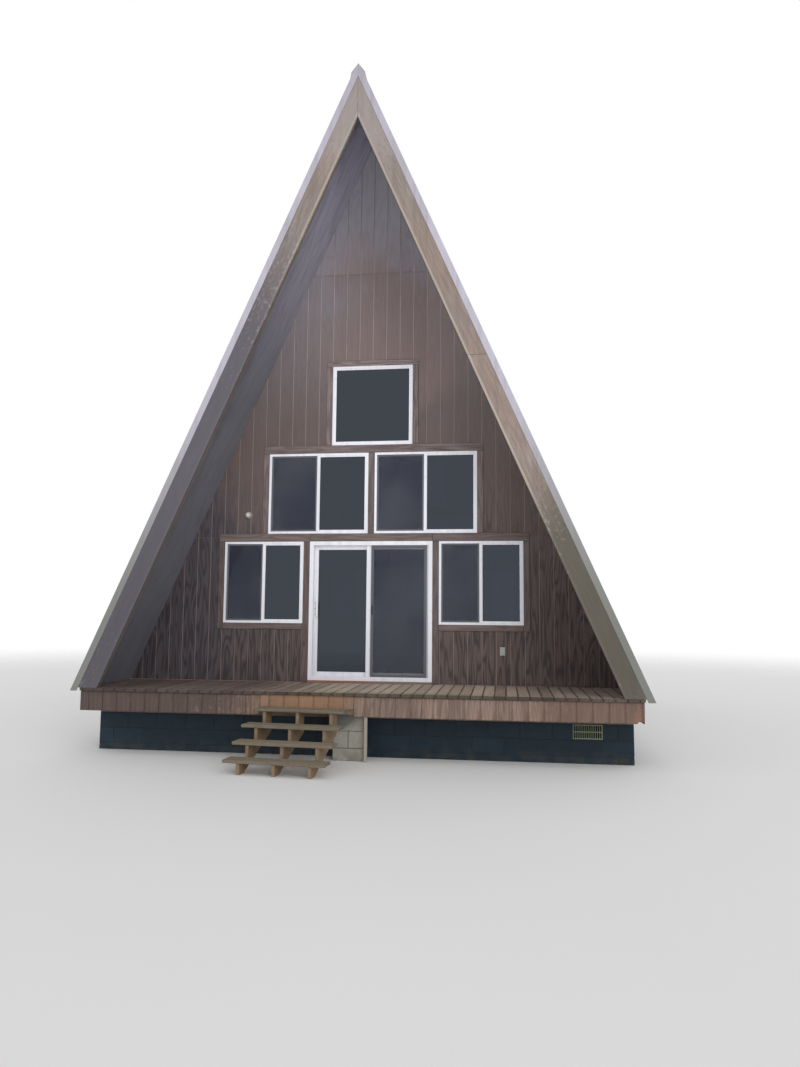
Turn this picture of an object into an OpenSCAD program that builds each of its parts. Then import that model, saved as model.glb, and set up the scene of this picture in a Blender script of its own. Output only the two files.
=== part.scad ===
// A-frame cabin on a raised timber platform, with a porch recessed under the front of the roof.
// The front faces -Y, +X is to the right as seen from the front, +Z is up.
// z = 0 is the lowest ground contact, and the origin is the middle of the footprint.

/* [Platform] */
// Width of the platform over its side skirts
platform_w = 7240; // [7100:10:8800]
// Depth of the porch, from the face of the front wall to the face of the front skirt
porch_d = 1460; // [1200:10:1900]
// Depth of the enclosed room over both gable walls
room_d = 7360; // [5600:10:9600]
// Distance from the face of the rear wall to the face of the rear skirt
rear_lip = 300; // [150:10:600]
// Height of the deck above the lowest ground contact
deck_h = 860; // [800:10:1060]
// Thickness of the deck boards and of the room floor
deck_t = 38; // [25:1:50]
// Overhang of the deck boards past the face of the front skirt
deck_lip = 40; // [10:1:60]
// Depth of the floor joists
joist_h = 235; // [184:1:286]
// Thickness of a framing board
board_t = 38; // [35:1:50]
// Distance between floor joists, centre to centre
joist_pitch = 406; // [300:1:610]
// Height of the skirt strip
skirt_h = 258; // [200:1:320]
// Thickness of the siding sheet
siding_t = 16; // [12:1:20]
// Height of the shorter skirt piece behind the stair
skirt_mid_h = 168; // [120:1:200]
// Width of that piece
skirt_mid_w = 1220; // [900:10:1500]
// Place of the right end of that piece
skirt_mid_x = 50; // [-200:10:300]
// Width of the break in the lower right corner of the skirt
break_w = 90; // [40:2:160]
// Height of that break
break_h = 112; // [40:2:160]

/* [Foundation] */
// Thickness of the block walls
block_t = 203; // [140:1:250]
// Height of one course of blocks
block_h = 203; // [190:1:210]
// Length of one block
block_l = 406; // [390:1:420]
// Depth and height of the sill timbers on the block walls
sill_timber = 89; // [60:1:140]
// Set-back of the front block wall behind the face of the skirt
foundation_front = 430; // [300:10:700]
// Set-back of the side and rear block walls behind the face of the skirt
foundation_side = 70; // [40:5:150]
// Width of the vent
vent_w = 370; // [300:5:390]
// Height of the vent
vent_h = 182; // [140:2:190]
// Place of the middle of the vent across the front wall
vent_x = 2982; // [2400:10:3000]
// Number of slots in each row of the vent
vent_slots = 13; // [8:1:16]
// Width of the pier of blocks
pier_w = 397; // [300:1:410]
// Depth of the pier
pier_d = 193; // [190:1:300]
// Place of the middle of the pier
pier_x = -35; // [-100:5:200]
// Set-back of the pier behind the face of the skirt
pier_back = 100; // [60:5:250]
// Side of the thin post beside the pier
post_t = 38; // [30:1:90]
// Gap between the pier and the post
post_gap = 22; // [10:1:60]

/* [Roof] */
// Height from the deck to where the outer edges of the rake boards meet
roof_rise = 8310; // [8000:10:10000]
// Distance from the outer edge of a rake board to the side of the platform, at deck level
rake_out = 20; // [0:5:60]
// Width of the rake boards
rake_w = 234; // [180:2:300]
// Thickness of the rake boards
rake_t = 38; // [19:1:45]
// Distance from the face of the skirt to the face of the rake boards, at both ends
rake_lip = 40; // [10:5:80]
// Height of the butt joint in the right front rake board, above the deck
rake_joint_z = 4340; // [2000:20:6000]
// Gap left in that joint
rake_joint_gap = 3; // [1:1:6]
// Thickness of the soffit sheet
soffit_t = 10; // [6:1:16]
// Depth of the insulated roof over the room, under the roof deck
core_d = 212; // [140:1:230]
// Height of the roof deck above the upper edge of the rake boards
roof_over = 58; // [30:2:80]
// Drop of the roofing below the deck at the eaves
eave_drop = 40; // [0:5:100]
// Thickness of the roofing sheet
sheet_t = 3; // [1:0.5:5]
// Height of the ribs of the roofing
rib_h = 24; // [15:1:40]
// Width of a rib at its foot
rib_w = 56; // [30:2:80]
// Width of a rib at its top
rib_top = 24; // [10:1:40]
// Distance between ribs
rib_pitch = 305; // [200:5:410]
// Half width of the ridge cap at its shoulders
cap_half = 92; // [70:1:150]
// Height of the ridge cap from its shoulders to its tip
cap_rise = 124; // [80:1:220]
// Thickness of the bent metal of cap and trims
metal_t = 3; // [1:0.5:5]
// Clearance between the ridge of the roof deck and the tip of the ridge cap
cap_clear = 30.4; // [15:0.1:60]
// Distance by which the cap's turned-down hem flares out at its foot
hem_flare = 12; // [0:1:20]
// Width of the trim leg that lies on the roofing
trim_leg = 90; // [50:2:150]

/* [Gable walls] */
// Thickness of the gable walls
wall_t = 120; // [100:1:170]
// Width of the door frame
door_w = 1822; // [1500:2:1900]
// Height of the door frame
door_h = 2030; // [1950:5:2150]
// Height of the wood sill under the door frame
door_sill_h = 33; // [20:1:60]
// Width of the two windows beside the door
side_win_w = 1210; // [900:5:1400]
// Width of the two windows of the middle row
mid_win_w = 1510; // [1200:5:1550]
// Width of the window at the top
top_win_w = 1210; // [900:5:1400]
// Height of every window
win_h = 1205; // [1000:5:1260]
// Width of the boards between frames that stand side by side
mull_w = 95; // [80:1:140]
// Height of the upper edge of the windows beside the door, above the deck
side_win_top = 2060; // [2000:5:2200]
// Height of the band of boards between rows of windows
band_h = 120; // [100:2:200]
// Width of the boards round the windows
casing_w = 90; // [70:1:120]
// Thickness of those boards
casing_t = 19; // [12:1:25]
// Width of the white face of a window frame
frame_face = 34; // [25:1:60]
// Depth of a window frame
frame_d = 84; // [60:1:100]
// Distance that the frames stand out from the siding
frame_out = 14; // [0:1:18]
// Width of the sash inside the frame
sash_face = 20; // [16:1:40]
// Thickness of a window sash
sash_t = 24; // [20:1:28]
// Width of the stiles that meet at the middle of a sliding window
mid_bar = 46; // [36:1:60]
// Thickness of the glass
glass_t = 6; // [4:1:12]
// Depth to which the glass sits in its groove
glass_bite = 8; // [4:1:12]

/* [Patio door] */
// Face width of the fixed frame of the door
jamb_face = 45; // [35:1:60]
// Thickness of the ribs between the tracks
track_rib = 4; // [3:1:6]
// Height of those ribs
track_lip = 14; // [8:1:20]
// Width of the stiles and of the top rail of a leaf
stile_w = 68; // [45:1:90]
// Height of the bottom rail of a leaf
rail_h = 68; // [60:1:120]
// Thickness of a glazed leaf
leaf_t = 35; // [30:1:40]
// Place of the middle of the stiles that meet, across the door
meet_x = -26; // [-60:2:0]
// Clearance round the pieces that slide
slide_gap = 6; // [5:0.5:8]
// Room between the closed insect screen and the jamb beside it
screen_park = 36; // [10:1:120]
// Thickness of the frame of the insect screen
screen_t = 12; // [8:1:15]
// Face width of the frame of the insect screen
screen_face = 42; // [25:1:60]
// Length of the pull on the sliding leaf
pull_l = 240; // [150:5:300]
// Height of the middle of the pull above the deck
pull_z = 1070; // [900:10:1200]

/* [Stair] */
// Height of the top of the lowest tread
first_rise = 171; // [150:1:200]
// Rise from the top tread to the deck
top_rise = 188; // [160:1:200]
// Run from tread to tread
stair_run = 259; // [220:1:300]
// Depth of a tread
tread_d = 235; // [200:1:286]
// Length of the three lower treads
tread_w = 1240; // [1000:10:1500]
// Length of the top tread
top_tread_w = 1148; // [900:2:1240]
// Sideways shift of the top tread
top_tread_x = 32; // [-50:2:50]
// Angle by which the stair has swung out of square with the porch
stair_skew = 5.1; // [0:0.1:8]
// Place of the middle of the stair across the front
stair_x = -610; // [-2400:10:2400]
// Distance between stringers
stringer_pitch = 435; // [350:5:560]
// Depth of a stringer under its notches
stringer_throat = 95; // [70:1:140]
// Overhang of a tread past its riser cut
nosing = 25; // [0:1:40]

/* [Fittings] */
// Width of the outlet cover
outlet_w = 72; // [60:1:120]
// Height of the outlet cover
outlet_h = 116; // [100:1:140]
// Diameter of the porch light
light_d = 110; // [80:2:130]

/* [Hidden] */
TREADS = 4;
// Gap between the ends of boards that meet
end_gap = 2;
// Gap between slanted faces that meet
seat_gap = 0.5;
wood_brown = [0.30, 0.22, 0.18];
wood_grey = [0.62, 0.55, 0.45];
metal_grey = [0.70, 0.70, 0.76];
frame_white = [0.93, 0.93, 0.93];
glass_tint = [0.30, 0.38, 0.42, 0.55];

// Places along Y, from the face of the front wall
skirt_front = -porch_d;
skirt_rear = room_d + rear_lip;
rake_front = skirt_front - rake_lip;
rake_rear = skirt_rear + rake_lip;
roof_front = rake_front + rake_t;
roof_rear = rake_rear - rake_t;

// Heights
joist_top = deck_h - deck_t;
joist_bottom = joist_top - joist_h;
foundation_h = joist_bottom - sill_timber;
band_z = side_win_top + band_h;
mid_win_top = band_z + win_h;
top_win_z = mid_win_top + band_h;
door_top = door_sill_h + door_h;
wall_split = side_win_top + band_h / 2;

// The roof's line: the outer edge of a rake board
roof_half = platform_w / 2 + rake_out;
roof_a = atan(roof_rise / roof_half);
function slope_x(z, out) = (roof_rise - z) / tan(roof_a) + out / sin(roof_a);
function slope_z(x, out) = roof_rise - x * tan(roof_a) + out / cos(roof_a);
sheet_foot = roof_over + seat_gap;
sheet_line = roof_over + sheet_t;
metal_line = roof_over + rib_h;

// The stair's place: the top tread's rear corner stays clear of the skirt
stair_clear = 5;
stair_rise = (deck_h - first_rise - top_rise) / (TREADS - 1);
stair_top = first_rise + (TREADS - 1) * stair_rise;
tread_back = (top_tread_w / 2 - top_tread_x) * sin(stair_skew) + tread_d * cos(stair_skew);
stair_y = skirt_front - stair_clear - tread_back;
stair_reach = (TREADS - 1) * stair_run;
stair_front = stair_y - stair_reach * cos(stair_skew) - tread_w / 2 * sin(stair_skew);

// The origin is the middle of the footprint
origin_y = -(stair_front + rake_rear + metal_t) / 2;

// Windows of a gable: [middle, bottom, width, slides]
side_win_x = door_w / 2 + mull_w + side_win_w / 2;
mid_win_x = mull_w / 2 + mid_win_w / 2;
WINDOWS = [
    [-side_win_x, side_win_top - win_h, side_win_w, true],
    [side_win_x, side_win_top - win_h, side_win_w, true],
    [-mid_win_x, band_z, mid_win_w, true],
    [mid_win_x, band_z, mid_win_w, true],
    [0, top_win_z, top_win_w, false],
];

// Tracks of the patio door, by depth: screen, fixed leaf and sliding leaf, with ribs between
jamb_y = -frame_out;
screen_y = jamb_y + track_rib + slide_gap;
fixed_y = screen_y + screen_t + slide_gap + track_rib;
leaf_y = fixed_y + leaf_t + track_rib + slide_gap;
jamb_end = leaf_y + leaf_t + slide_gap + track_rib;
RIBS = [jamb_y, fixed_y - track_rib, fixed_y + leaf_t, jamb_end - track_rib];

// Places across the door, and heights
door_in = door_w / 2 - jamb_face;
leaf_x = -door_in + slide_gap;
leaf_w = meet_x + stile_w / 2 - leaf_x;
fixed_x = meet_x - stile_w / 2;
fixed_w = door_in - fixed_x;
screen_x = meet_x + stile_w / 2 + end_gap;
screen_w = door_in - screen_x - screen_park;
leaf_z = deck_h + door_sill_h + jamb_face;
leaf_h = door_h - 2 * jamb_face;
moving_z = leaf_z + slide_gap;
moving_h = leaf_h - 2 * slide_gap;
pull_w = 26;
pull_out = 36;
pull_past = 6;
pull_bar = 12;

// Moves what is drawn from the front wall's face to the origin
module placed() {
    translate([0, origin_y, 0]) children();
}

// A box from its low corner to its high corner
module box(low, high) {
    translate(low) cube(high - low);
}

// Both sides of the ridge
module both_sides() {
    children();
    mirror([1, 0, 0]) children();
}

// Extrudes an XZ outline, drawn above the deck, from y0 to y1
module gable_plate(y0, y1) {
    translate([0, y1, deck_h]) rotate([90, 0, 0]) linear_extrude(y1 - y0) children();
}

// Faces the other way: from the front gable to the rear one
module to_rear() {
    translate([0, room_d, 0]) mirror([0, 1, 0]) children();
}

module foundation_wall(x0, x1, y0, y1) {
    color([0.19, 0.20, 0.23]) box([x0, y0, 0], [x1, y1, foundation_h]);
}

foundation_x = platform_w / 2 - foundation_side;
foundation_y0 = skirt_front + foundation_front;
foundation_y1 = skirt_rear - foundation_side;
vent_z = foundation_h - block_h + (block_h - vent_h) / 2;

module foundation_front() {
    placed() difference() {
        foundation_wall(-foundation_x, foundation_x, foundation_y0, foundation_y0 + block_t);
        translate([vent_x - vent_w / 2, foundation_y0 - 1, vent_z])
            cube([vent_w, block_t + 2, vent_h]);
    }
}

module foundation_rear() {
    placed() foundation_wall(-foundation_x, foundation_x, foundation_y1 - block_t, foundation_y1);
}

module foundation_sides() {
    placed() both_sides() foundation_wall(
        foundation_x - block_t, foundation_x,
        foundation_y0 + block_t, foundation_y1 - block_t);
}

vent_out = 6;
vent_t = 40;
vent_rim = 14;
vent_bar = 9;

module foundation_vent() {
    slot_pitch = (vent_w - 2 * vent_rim + vent_bar) / vent_slots;
    slot_h = (vent_h - 3 * vent_rim) / 2;
    color([0.72, 0.73, 0.62])
    placed() translate([vent_x - vent_w / 2, foundation_y0 - vent_out, vent_z]) difference() {
        cube([vent_w, vent_t, vent_h]);
        for (row = [0, 1])
            for (i = [0 : vent_slots - 1])
                translate([vent_rim + i * slot_pitch, -1, vent_rim + row * (slot_h + vent_rim)])
                    cube([slot_pitch - vent_bar, vent_t + 2, slot_h]);
    }
}

module pier() {
    color([0.60, 0.60, 0.58])
    placed() box(
        [pier_x - pier_w / 2, skirt_front + pier_back, 0],
        [pier_x + pier_w / 2, skirt_front + pier_back + pier_d, joist_bottom]);
}

module pier_post() {
    post_x = pier_x + pier_w / 2 + post_gap;
    color([0.66, 0.63, 0.56])
    placed() box(
        [post_x, skirt_front + siding_t, 0],
        [post_x + post_t, skirt_front + siding_t + post_t, joist_bottom]);
}

frame_x = platform_w / 2 - siding_t;
frame_y0 = skirt_front + siding_t;
frame_y1 = skirt_rear - siding_t;

module floor_frame() {
    inner_x = frame_x - board_t;
    first = frame_y0 + joist_pitch;
    joists = floor((frame_y1 - 2 * board_t - first) / joist_pitch);
    between = [for (i = [0 : joists]) first + i * joist_pitch];
    color([0.45, 0.37, 0.29])
    placed() {
        both_sides() box([inner_x, frame_y0, joist_bottom], [frame_x, frame_y1, joist_top]);
        for (y = concat([frame_y0, frame_y1 - board_t], between))
            box([-inner_x + end_gap, y, joist_bottom], [inner_x - end_gap, y + board_t, joist_top]);
    }
}

// Timbers along the block walls, under the joists
module sill_timbers() {
    inner_x = foundation_x - sill_timber;
    color([0.40, 0.34, 0.28])
    placed() {
        both_sides() box(
            [inner_x, foundation_y0, foundation_h],
            [foundation_x, foundation_y1, joist_bottom]);
        for (y = [foundation_y0, foundation_y1 - sill_timber])
            box([-inner_x + end_gap, y, foundation_h],
                [inner_x - end_gap, y + sill_timber, joist_bottom]);
    }
}

module room_floor() {
    color([0.55, 0.45, 0.34])
    placed() box([-platform_w / 2, 0, joist_top], [platform_w / 2, skirt_rear, deck_h]);
}

module porch_deck() {
    color([0.43, 0.39, 0.33])
    placed() box([-platform_w / 2, skirt_front - deck_lip, joist_top], [platform_w / 2, 0, deck_h]);
}

skirt_z = joist_top - skirt_h;

// Jagged outline of the broken corner, from its lower right corner
module break_outline() {
    polygon([
        [1, -1],
        [1, break_h],
        [-0.25 * break_w, 0.75 * break_h],
        [-0.45 * break_w, 0.3 * break_h],
        [-0.6 * break_w, 0.35 * break_h],
        [-break_w, -1],
    ]);
}

module skirt_front() {
    edges = [-platform_w / 2, skirt_mid_x - skirt_mid_w, skirt_mid_x, platform_w / 2];
    color([0.47, 0.35, 0.28])
    placed() difference() {
        for (i = [0 : 2])
            box([edges[i] + (i > 0 ? end_gap : 0), skirt_front, joist_top - (i == 1 ? skirt_mid_h : skirt_h)],
                [edges[i + 1], skirt_front + siding_t, joist_top]);
        translate([platform_w / 2, skirt_front + siding_t + 1, skirt_z])
            rotate([90, 0, 0]) linear_extrude(siding_t + 2) break_outline();
    }
}

module skirt_sides() {
    color([0.44, 0.33, 0.27])
    placed() {
        both_sides() box(
            [frame_x, frame_y0, skirt_z],
            [platform_w / 2, frame_y1, joist_top]);
        box([-platform_w / 2, frame_y1 + end_gap, skirt_z], [platform_w / 2, skirt_rear, joist_top]);
    }
}

module window_holes() {
    for (w = WINDOWS)
        translate([w[0] - w[2] / 2, w[1]]) square([w[2], win_h]);
}

// Wall plate below the split, from one place across to the roof's slope on the right
module lower_plate(x0) {
    gable_plate(0, wall_t) difference() {
        polygon([
            [x0, 0],
            [slope_x(0, 0), 0],
            [slope_x(wall_split, 0), wall_split],
            [x0 < 0 ? -slope_x(wall_split, 0) : x0, wall_split],
        ]);
        window_holes();
    }
}

// Wall plate above the split, with a tab down to the head of the door
module upper_plate(over_door) {
    gable_plate(0, wall_t) difference() {
        union() {
            polygon([
                [-slope_x(wall_split, 0), wall_split],
                [slope_x(wall_split, 0), wall_split],
                [0, slope_z(0, 0)],
            ]);
            if (over_door)
                translate([-door_w / 2, door_top]) square([door_w, band_h / 2 + side_win_top - door_top + 1]);
        }
        window_holes();
    }
}

module front_wall_right() {
    color(wood_brown) placed() lower_plate(door_w / 2);
}

module front_wall_left() {
    color(wood_brown) placed() mirror([1, 0, 0]) lower_plate(door_w / 2);
}

module front_wall_upper() {
    color(wood_brown) placed() upper_plate(true);
}

module rear_wall_lower() {
    color(wood_brown) placed() to_rear() lower_plate(-slope_x(0, 0));
}

module rear_wall_upper() {
    color(wood_brown) placed() to_rear() upper_plate(false);
}

// Band that follows the right slope between two offset lines, from near the ridge to a foot
module slope_band(in_line, out_line, foot, ridge = 0) {
    polygon([
        [ridge, slope_z(ridge, in_line)],
        [slope_x(foot, in_line), foot],
        [slope_x(foot, out_line), foot],
        [ridge, slope_z(ridge, out_line)],
    ]);
}

// The roof deck runs from rake to rake, over the gable walls, with the insulated part between them
module roof_slab() {
    gable_plate(wall_t, room_d - wall_t) slope_band(-core_d, roof_over, 0);
    gable_plate(rake_front, rake_rear) slope_band(seat_gap, roof_over, 0);
}

module roof_right() {
    color([0.50, 0.45, 0.40]) placed() roof_slab();
}

module roof_left() {
    color([0.50, 0.45, 0.40]) placed() mirror([1, 0, 0]) roof_slab();
}

// Stands its children on the right slope: their X runs along Y, their Y away from the
// slope, and their Z down the slope from the ridge
module on_slope() {
    translate([0, 0, deck_h + roof_rise])
        rotate([0, 90 + roof_a, 0]) rotate([0, 0, 90]) children();
}

function slope_length(out) = (roof_rise + eave_drop) / sin(roof_a) - out / tan(roof_a);

// Section of the roofing: a sheet with a trapezoid rib at each pitch
module roofing_section() {
    run = rake_rear - rake_front;
    ribs = floor((run - rib_w) / rib_pitch);
    first = (run - ribs * rib_pitch) / 2;
    points = [for (i = [0 : ribs]) let (c = rake_front + first + i * rib_pitch) each [
        [c - rib_w / 2, sheet_line],
        [c - rib_top / 2, metal_line],
        [c + rib_top / 2, metal_line],
        [c + rib_w / 2, sheet_line],
    ]];
    polygon(concat(
        [[rake_rear, sheet_foot], [rake_front, sheet_foot], [rake_front, sheet_line]],
        points,
        [[rake_rear, sheet_line]]));
}

module roofing_half() {
    on_slope() linear_extrude(slope_length(sheet_foot)) roofing_section();
}

module roofing_right() {
    color(metal_grey) placed() roofing_half();
}

module roofing_left() {
    color(metal_grey) placed() mirror([1, 0, 0]) roofing_half();
}

// The ridge cap: two flatter wings over the ridge, with hems turned down onto the ribs
hem_x = cap_half + hem_flare;
hem_foot = slope_z(hem_x, metal_line);
cap_tip = slope_z(0, roof_over) + cap_clear;
shoulder_z = cap_tip - cap_rise;

module cap_outline() {
    polygon([
        [0, cap_tip + metal_t],
        [cap_half + metal_t, shoulder_z],
        [hem_x + metal_t, hem_foot],
        [hem_x, hem_foot],
        [cap_half, shoulder_z],
        [0, cap_tip],
        [-cap_half, shoulder_z],
        [-hem_x, hem_foot],
        [-hem_x - metal_t, hem_foot],
        [-cap_half - metal_t, shoulder_z],
    ]);
}

module ridge_cap() {
    color(metal_grey) placed()
        gable_plate(rake_front - metal_t, rake_rear + metal_t) cap_outline();
}

// A board of the rake, with its mitre at the ridge and a level foot on the deck
module rake_board(y0, y1) {
    gable_plate(y0, y1) slope_band(-rake_w, 0, 0, end_gap / 2);
}

module rake_boards_front() {
    color(wood_grey) placed() {
        mirror([1, 0, 0]) rake_board(rake_front, roof_front);
        difference() {
            rake_board(rake_front, roof_front);
            translate([0, rake_front - 1, deck_h + rake_joint_z])
                cube([platform_w, rake_t + 2, rake_joint_gap]);
        }
    }
}

module rake_boards_rear() {
    color(wood_grey) placed() both_sides() rake_board(roof_rear, rake_rear);
}

// The outer pair of rafters behind the rake boards, at each end
module rake_rafters() {
    color([0.52, 0.46, 0.38]) placed()
        for (y = [roof_front, roof_rear - rake_t])
            both_sides() rake_board(y, y + rake_t);
}

// The rake trim: a leg down the edge of the roof and one over the ribs, under the cap
module trim_half() {
    difference() {
        union() {
            gable_plate(rake_front - metal_t, rake_front)
                slope_band(0, metal_line + metal_t, -eave_drop, end_gap / 2);
            gable_plate(rake_front, rake_front + trim_leg)
                slope_band(metal_line + seat_gap, metal_line + metal_t, -eave_drop, end_gap / 2);
        }
        gable_plate(rake_front - 2 * metal_t, rake_front + trim_leg + 1) polygon([
            [-1, cap_tip],
            [0, cap_tip],
            [cap_half, shoulder_z],
            [hem_x, hem_foot],
            [hem_x + metal_t, hem_foot],
            [platform_w, hem_foot],
            [platform_w, 2 * roof_rise],
            [-1, 2 * roof_rise],
        ]);
    }
}

module rake_trims() {
    color(metal_grey) placed() both_sides() {
        trim_half();
        translate([0, rake_front + rake_rear, 0]) mirror([0, 1, 0]) trim_half();
    }
}

// Sheets on the underside of the roof deck, from the outer rafters to the gable walls
module soffits() {
    color([0.23, 0.21, 0.21]) placed() both_sides() {
        gable_plate(roof_front + rake_t, 0) slope_band(-soffit_t, 0, 0, end_gap / 2);
        gable_plate(room_d, roof_rear - rake_t) slope_band(-soffit_t, 0, 0, end_gap / 2);
    }
}

// Flat boards round the windows: an outline for each row, less the frames
module casing(with_door) {
    side_out = side_win_x + side_win_w / 2 + casing_w;
    mid_out = mid_win_x + mid_win_w / 2 + casing_w;
    top_out = top_win_w / 2 + casing_w;
    side_low = side_win_top - win_h - casing_w;
    gable_plate(-casing_t, 0) difference() {
        union() {
            for (x = [-side_out, door_w / 2])
                translate([x, side_low]) square([side_out - door_w / 2, side_win_top + band_h - side_low]);
            translate([-side_out, side_win_top]) square([2 * side_out, band_h]);
            translate([-mid_out, side_win_top]) square([2 * mid_out, win_h + 2 * band_h]);
            translate([-top_out, mid_win_top]) square([2 * top_out, band_h + win_h + casing_w]);
            if (with_door)
                for (x = [-door_w / 2 - mull_w, door_w / 2])
                    translate([x, 0]) square([mull_w, side_win_top]);
        }
        window_holes();
        if (with_door)
            translate([-door_w / 2, 0]) square([door_w, door_top]);
    }
}

module casing_front() {
    color([0.36, 0.27, 0.22]) placed() casing(true);
}

module casing_rear() {
    color([0.36, 0.27, 0.22]) placed() to_rear() casing(false);
}

// A rectangular ring drawn from its lower left corner, between two depths
module ring(w, h, face, y0, y1) {
    difference() {
        translate([0, y0, 0]) cube([w, y1 - y0, h]);
        translate([face, y0 - 1, face]) cube([w - 2 * face, y1 - y0 + 2, h - 2 * face]);
    }
}

// What a sash holds, widened by a margin on all four sides. s is the sash, drawn from its
// lower left corner: [width, height, left stile, right stile, bottom rail, top rail]
module sash_hole(s, margin, y0, t) {
    translate([s[2] - margin, y0, s[4] - margin])
        cube([s[0] - s[2] - s[3] + 2 * margin, t, s[1] - s[4] - s[5] + 2 * margin]);
}

// The glass of a sash, at the middle of its thickness
module sash_pane(s, t) {
    sash_hole(s, glass_bite, (t - glass_t) / 2, glass_t);
}

// Stiles and rails of a sash, with the groove that holds its glass
module sash(s, t) {
    difference() {
        cube([s[0], t, s[1]]);
        sash_hole(s, 0, -1, t + 2);
        sash_pane(s, t);
    }
}

// Sashes of a window of width w, by place: [x, depth, sash]
sash_near = -6;
sash_far = sash_near + sash_t + 4;
sash_high = win_h - 2 * frame_face;
function sashes(w, slides) = let (half = (w + mid_bar) / 2 - frame_face)
    slides ? [
        [w - frame_face - half, sash_near, [half, sash_high, mid_bar, sash_face, sash_face, sash_face]],
        [frame_face, sash_far, [half, sash_high, sash_face, mid_bar, sash_face, sash_face]],
    ] : [
        [frame_face, sash_near,
            [w - 2 * frame_face, sash_high, sash_face, sash_face, sash_face, sash_face]],
    ];

module window_frames() {
    for (w = WINDOWS)
        translate([w[0] - w[2] / 2, 0, deck_h + w[1]]) {
            ring(w[2], win_h, frame_face, -frame_out, frame_d - frame_out);
            for (s = sashes(w[2], w[3]))
                translate([s[0], s[1], frame_face]) sash(s[2], sash_t);
        }
}

module window_glass() {
    for (w = WINDOWS)
        translate([w[0] - w[2] / 2, 0, deck_h + w[1]])
            for (s = sashes(w[2], w[3]))
                translate([s[0], s[1], frame_face]) sash_pane(s[2], sash_t);
}

module window_frames_front() {
    color(frame_white) placed() window_frames();
}

module window_frames_rear() {
    color(frame_white) placed() to_rear() window_frames();
}

module window_glass_front() {
    color(glass_tint) placed() window_glass();
}

module window_glass_rear() {
    color(glass_tint) placed() to_rear() window_glass();
}

sill_nose = 30;

module door_sill() {
    color([0.48, 0.30, 0.24])
    placed() box([-door_w / 2, -frame_out - sill_nose, deck_h], [door_w / 2, wall_t, deck_h + door_sill_h]);
}

// The fixed frame: a ring with a rib on either side of each track
module door_frame() {
    color(frame_white) placed() translate([-door_w / 2, 0, deck_h + door_sill_h]) {
        ring(door_w, door_h, jamb_face, jamb_y, jamb_end);
        for (y = RIBS)
            ring(door_w, door_h, jamb_face + track_lip, y, y + track_rib);
    }
}

FIXED_LEAF = [fixed_w, leaf_h, stile_w, stile_w, rail_h + slide_gap, stile_w + slide_gap];
DOOR_LEAF = [leaf_w, moving_h, stile_w, stile_w, rail_h, stile_w];

module fixed_leaf() {
    color(frame_white) placed() translate([fixed_x, fixed_y, leaf_z]) sash(FIXED_LEAF, leaf_t);
}

module fixed_glass() {
    color(glass_tint) placed() translate([fixed_x, fixed_y, leaf_z]) sash_pane(FIXED_LEAF, leaf_t);
}

// Outline of the pull: a bar with rounded ends on two feet
module pull_outline() {
    difference() {
        union() {
            square([pull_out - pull_bar, pull_l]);
            translate([0, pull_bar]) square([pull_out, pull_l - 2 * pull_bar]);
            for (z = [pull_bar, pull_l - pull_bar])
                translate([pull_out - pull_bar, z]) circle(pull_bar);
        }
        translate([-1, 2 * pull_bar]) square([pull_out - pull_bar + 1, pull_l - 4 * pull_bar]);
    }
}

module door_leaf() {
    color(frame_white) placed() translate([leaf_x, leaf_y, 0]) {
        translate([0, 0, moving_z]) sash(DOOR_LEAF, leaf_t);
        translate([stile_w + pull_past - pull_w, 0, deck_h + pull_z - pull_l / 2])
            rotate([90, 0, 90]) linear_extrude(pull_w) mirror([1, 0]) pull_outline();
    }
}

module door_glass() {
    color(glass_tint) placed() translate([leaf_x, leaf_y, moving_z]) sash_pane(DOOR_LEAF, leaf_t);
}

module screen_frame() {
    color([0.55, 0.56, 0.58]) placed() translate([screen_x, 0, moving_z])
        ring(screen_w, moving_h, screen_face, screen_y, screen_y + screen_t);
}

mesh_t = 2;

module screen_mesh() {
    color([0.35, 0.36, 0.38]) placed()
        translate([screen_x + screen_face, screen_y + (screen_t - mesh_t) / 2, moving_z + screen_face])
            cube([screen_w - 2 * screen_face, mesh_t, moving_h - 2 * screen_face]);
}

outlet_x = 1915;
outlet_z = 485;
outlet_t = 8;
outlet_rim = 8;
light_x = -1860;
light_z = 2460;
light_plate = 14;
light_neck = 22;
light_out = 96;

// A plate with a raised lid
module outlet_cover() {
    color([0.75, 0.75, 0.73]) placed()
        translate([outlet_x - outlet_w / 2, 0, deck_h + outlet_z - outlet_h / 2]) {
            translate([0, -outlet_t, 0]) cube([outlet_w, outlet_t, outlet_h]);
            translate([outlet_rim, -2 * outlet_t, outlet_rim])
                cube([outlet_w - 2 * outlet_rim, outlet_t, outlet_h - 2 * outlet_rim]);
        }
}

// A round plate, a neck and a jar with a domed end
module porch_light() {
    jar_r = 0.38 * light_d;
    color([0.85, 0.83, 0.76]) placed()
        translate([light_x, 0, deck_h + light_z]) rotate([90, 0, 0]) {
            cylinder(h = light_plate, d = light_d);
            cylinder(h = light_plate + light_neck, r = 0.9 * jar_r);
            translate([0, 0, light_plate + light_neck / 2])
                cylinder(h = light_out - jar_r - light_plate - light_neck / 2, r = jar_r);
            translate([0, 0, light_out - jar_r]) sphere(jar_r);
        }
}

// The stair's own frame: its origin is the front edge of the top tread, at its middle
module in_stair() {
    translate([stair_x, stair_y, 0]) rotate([0, 0, -stair_skew]) children();
}

// Outline of a notched stringer in its YZ plane
stringer_heel = 40;

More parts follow.
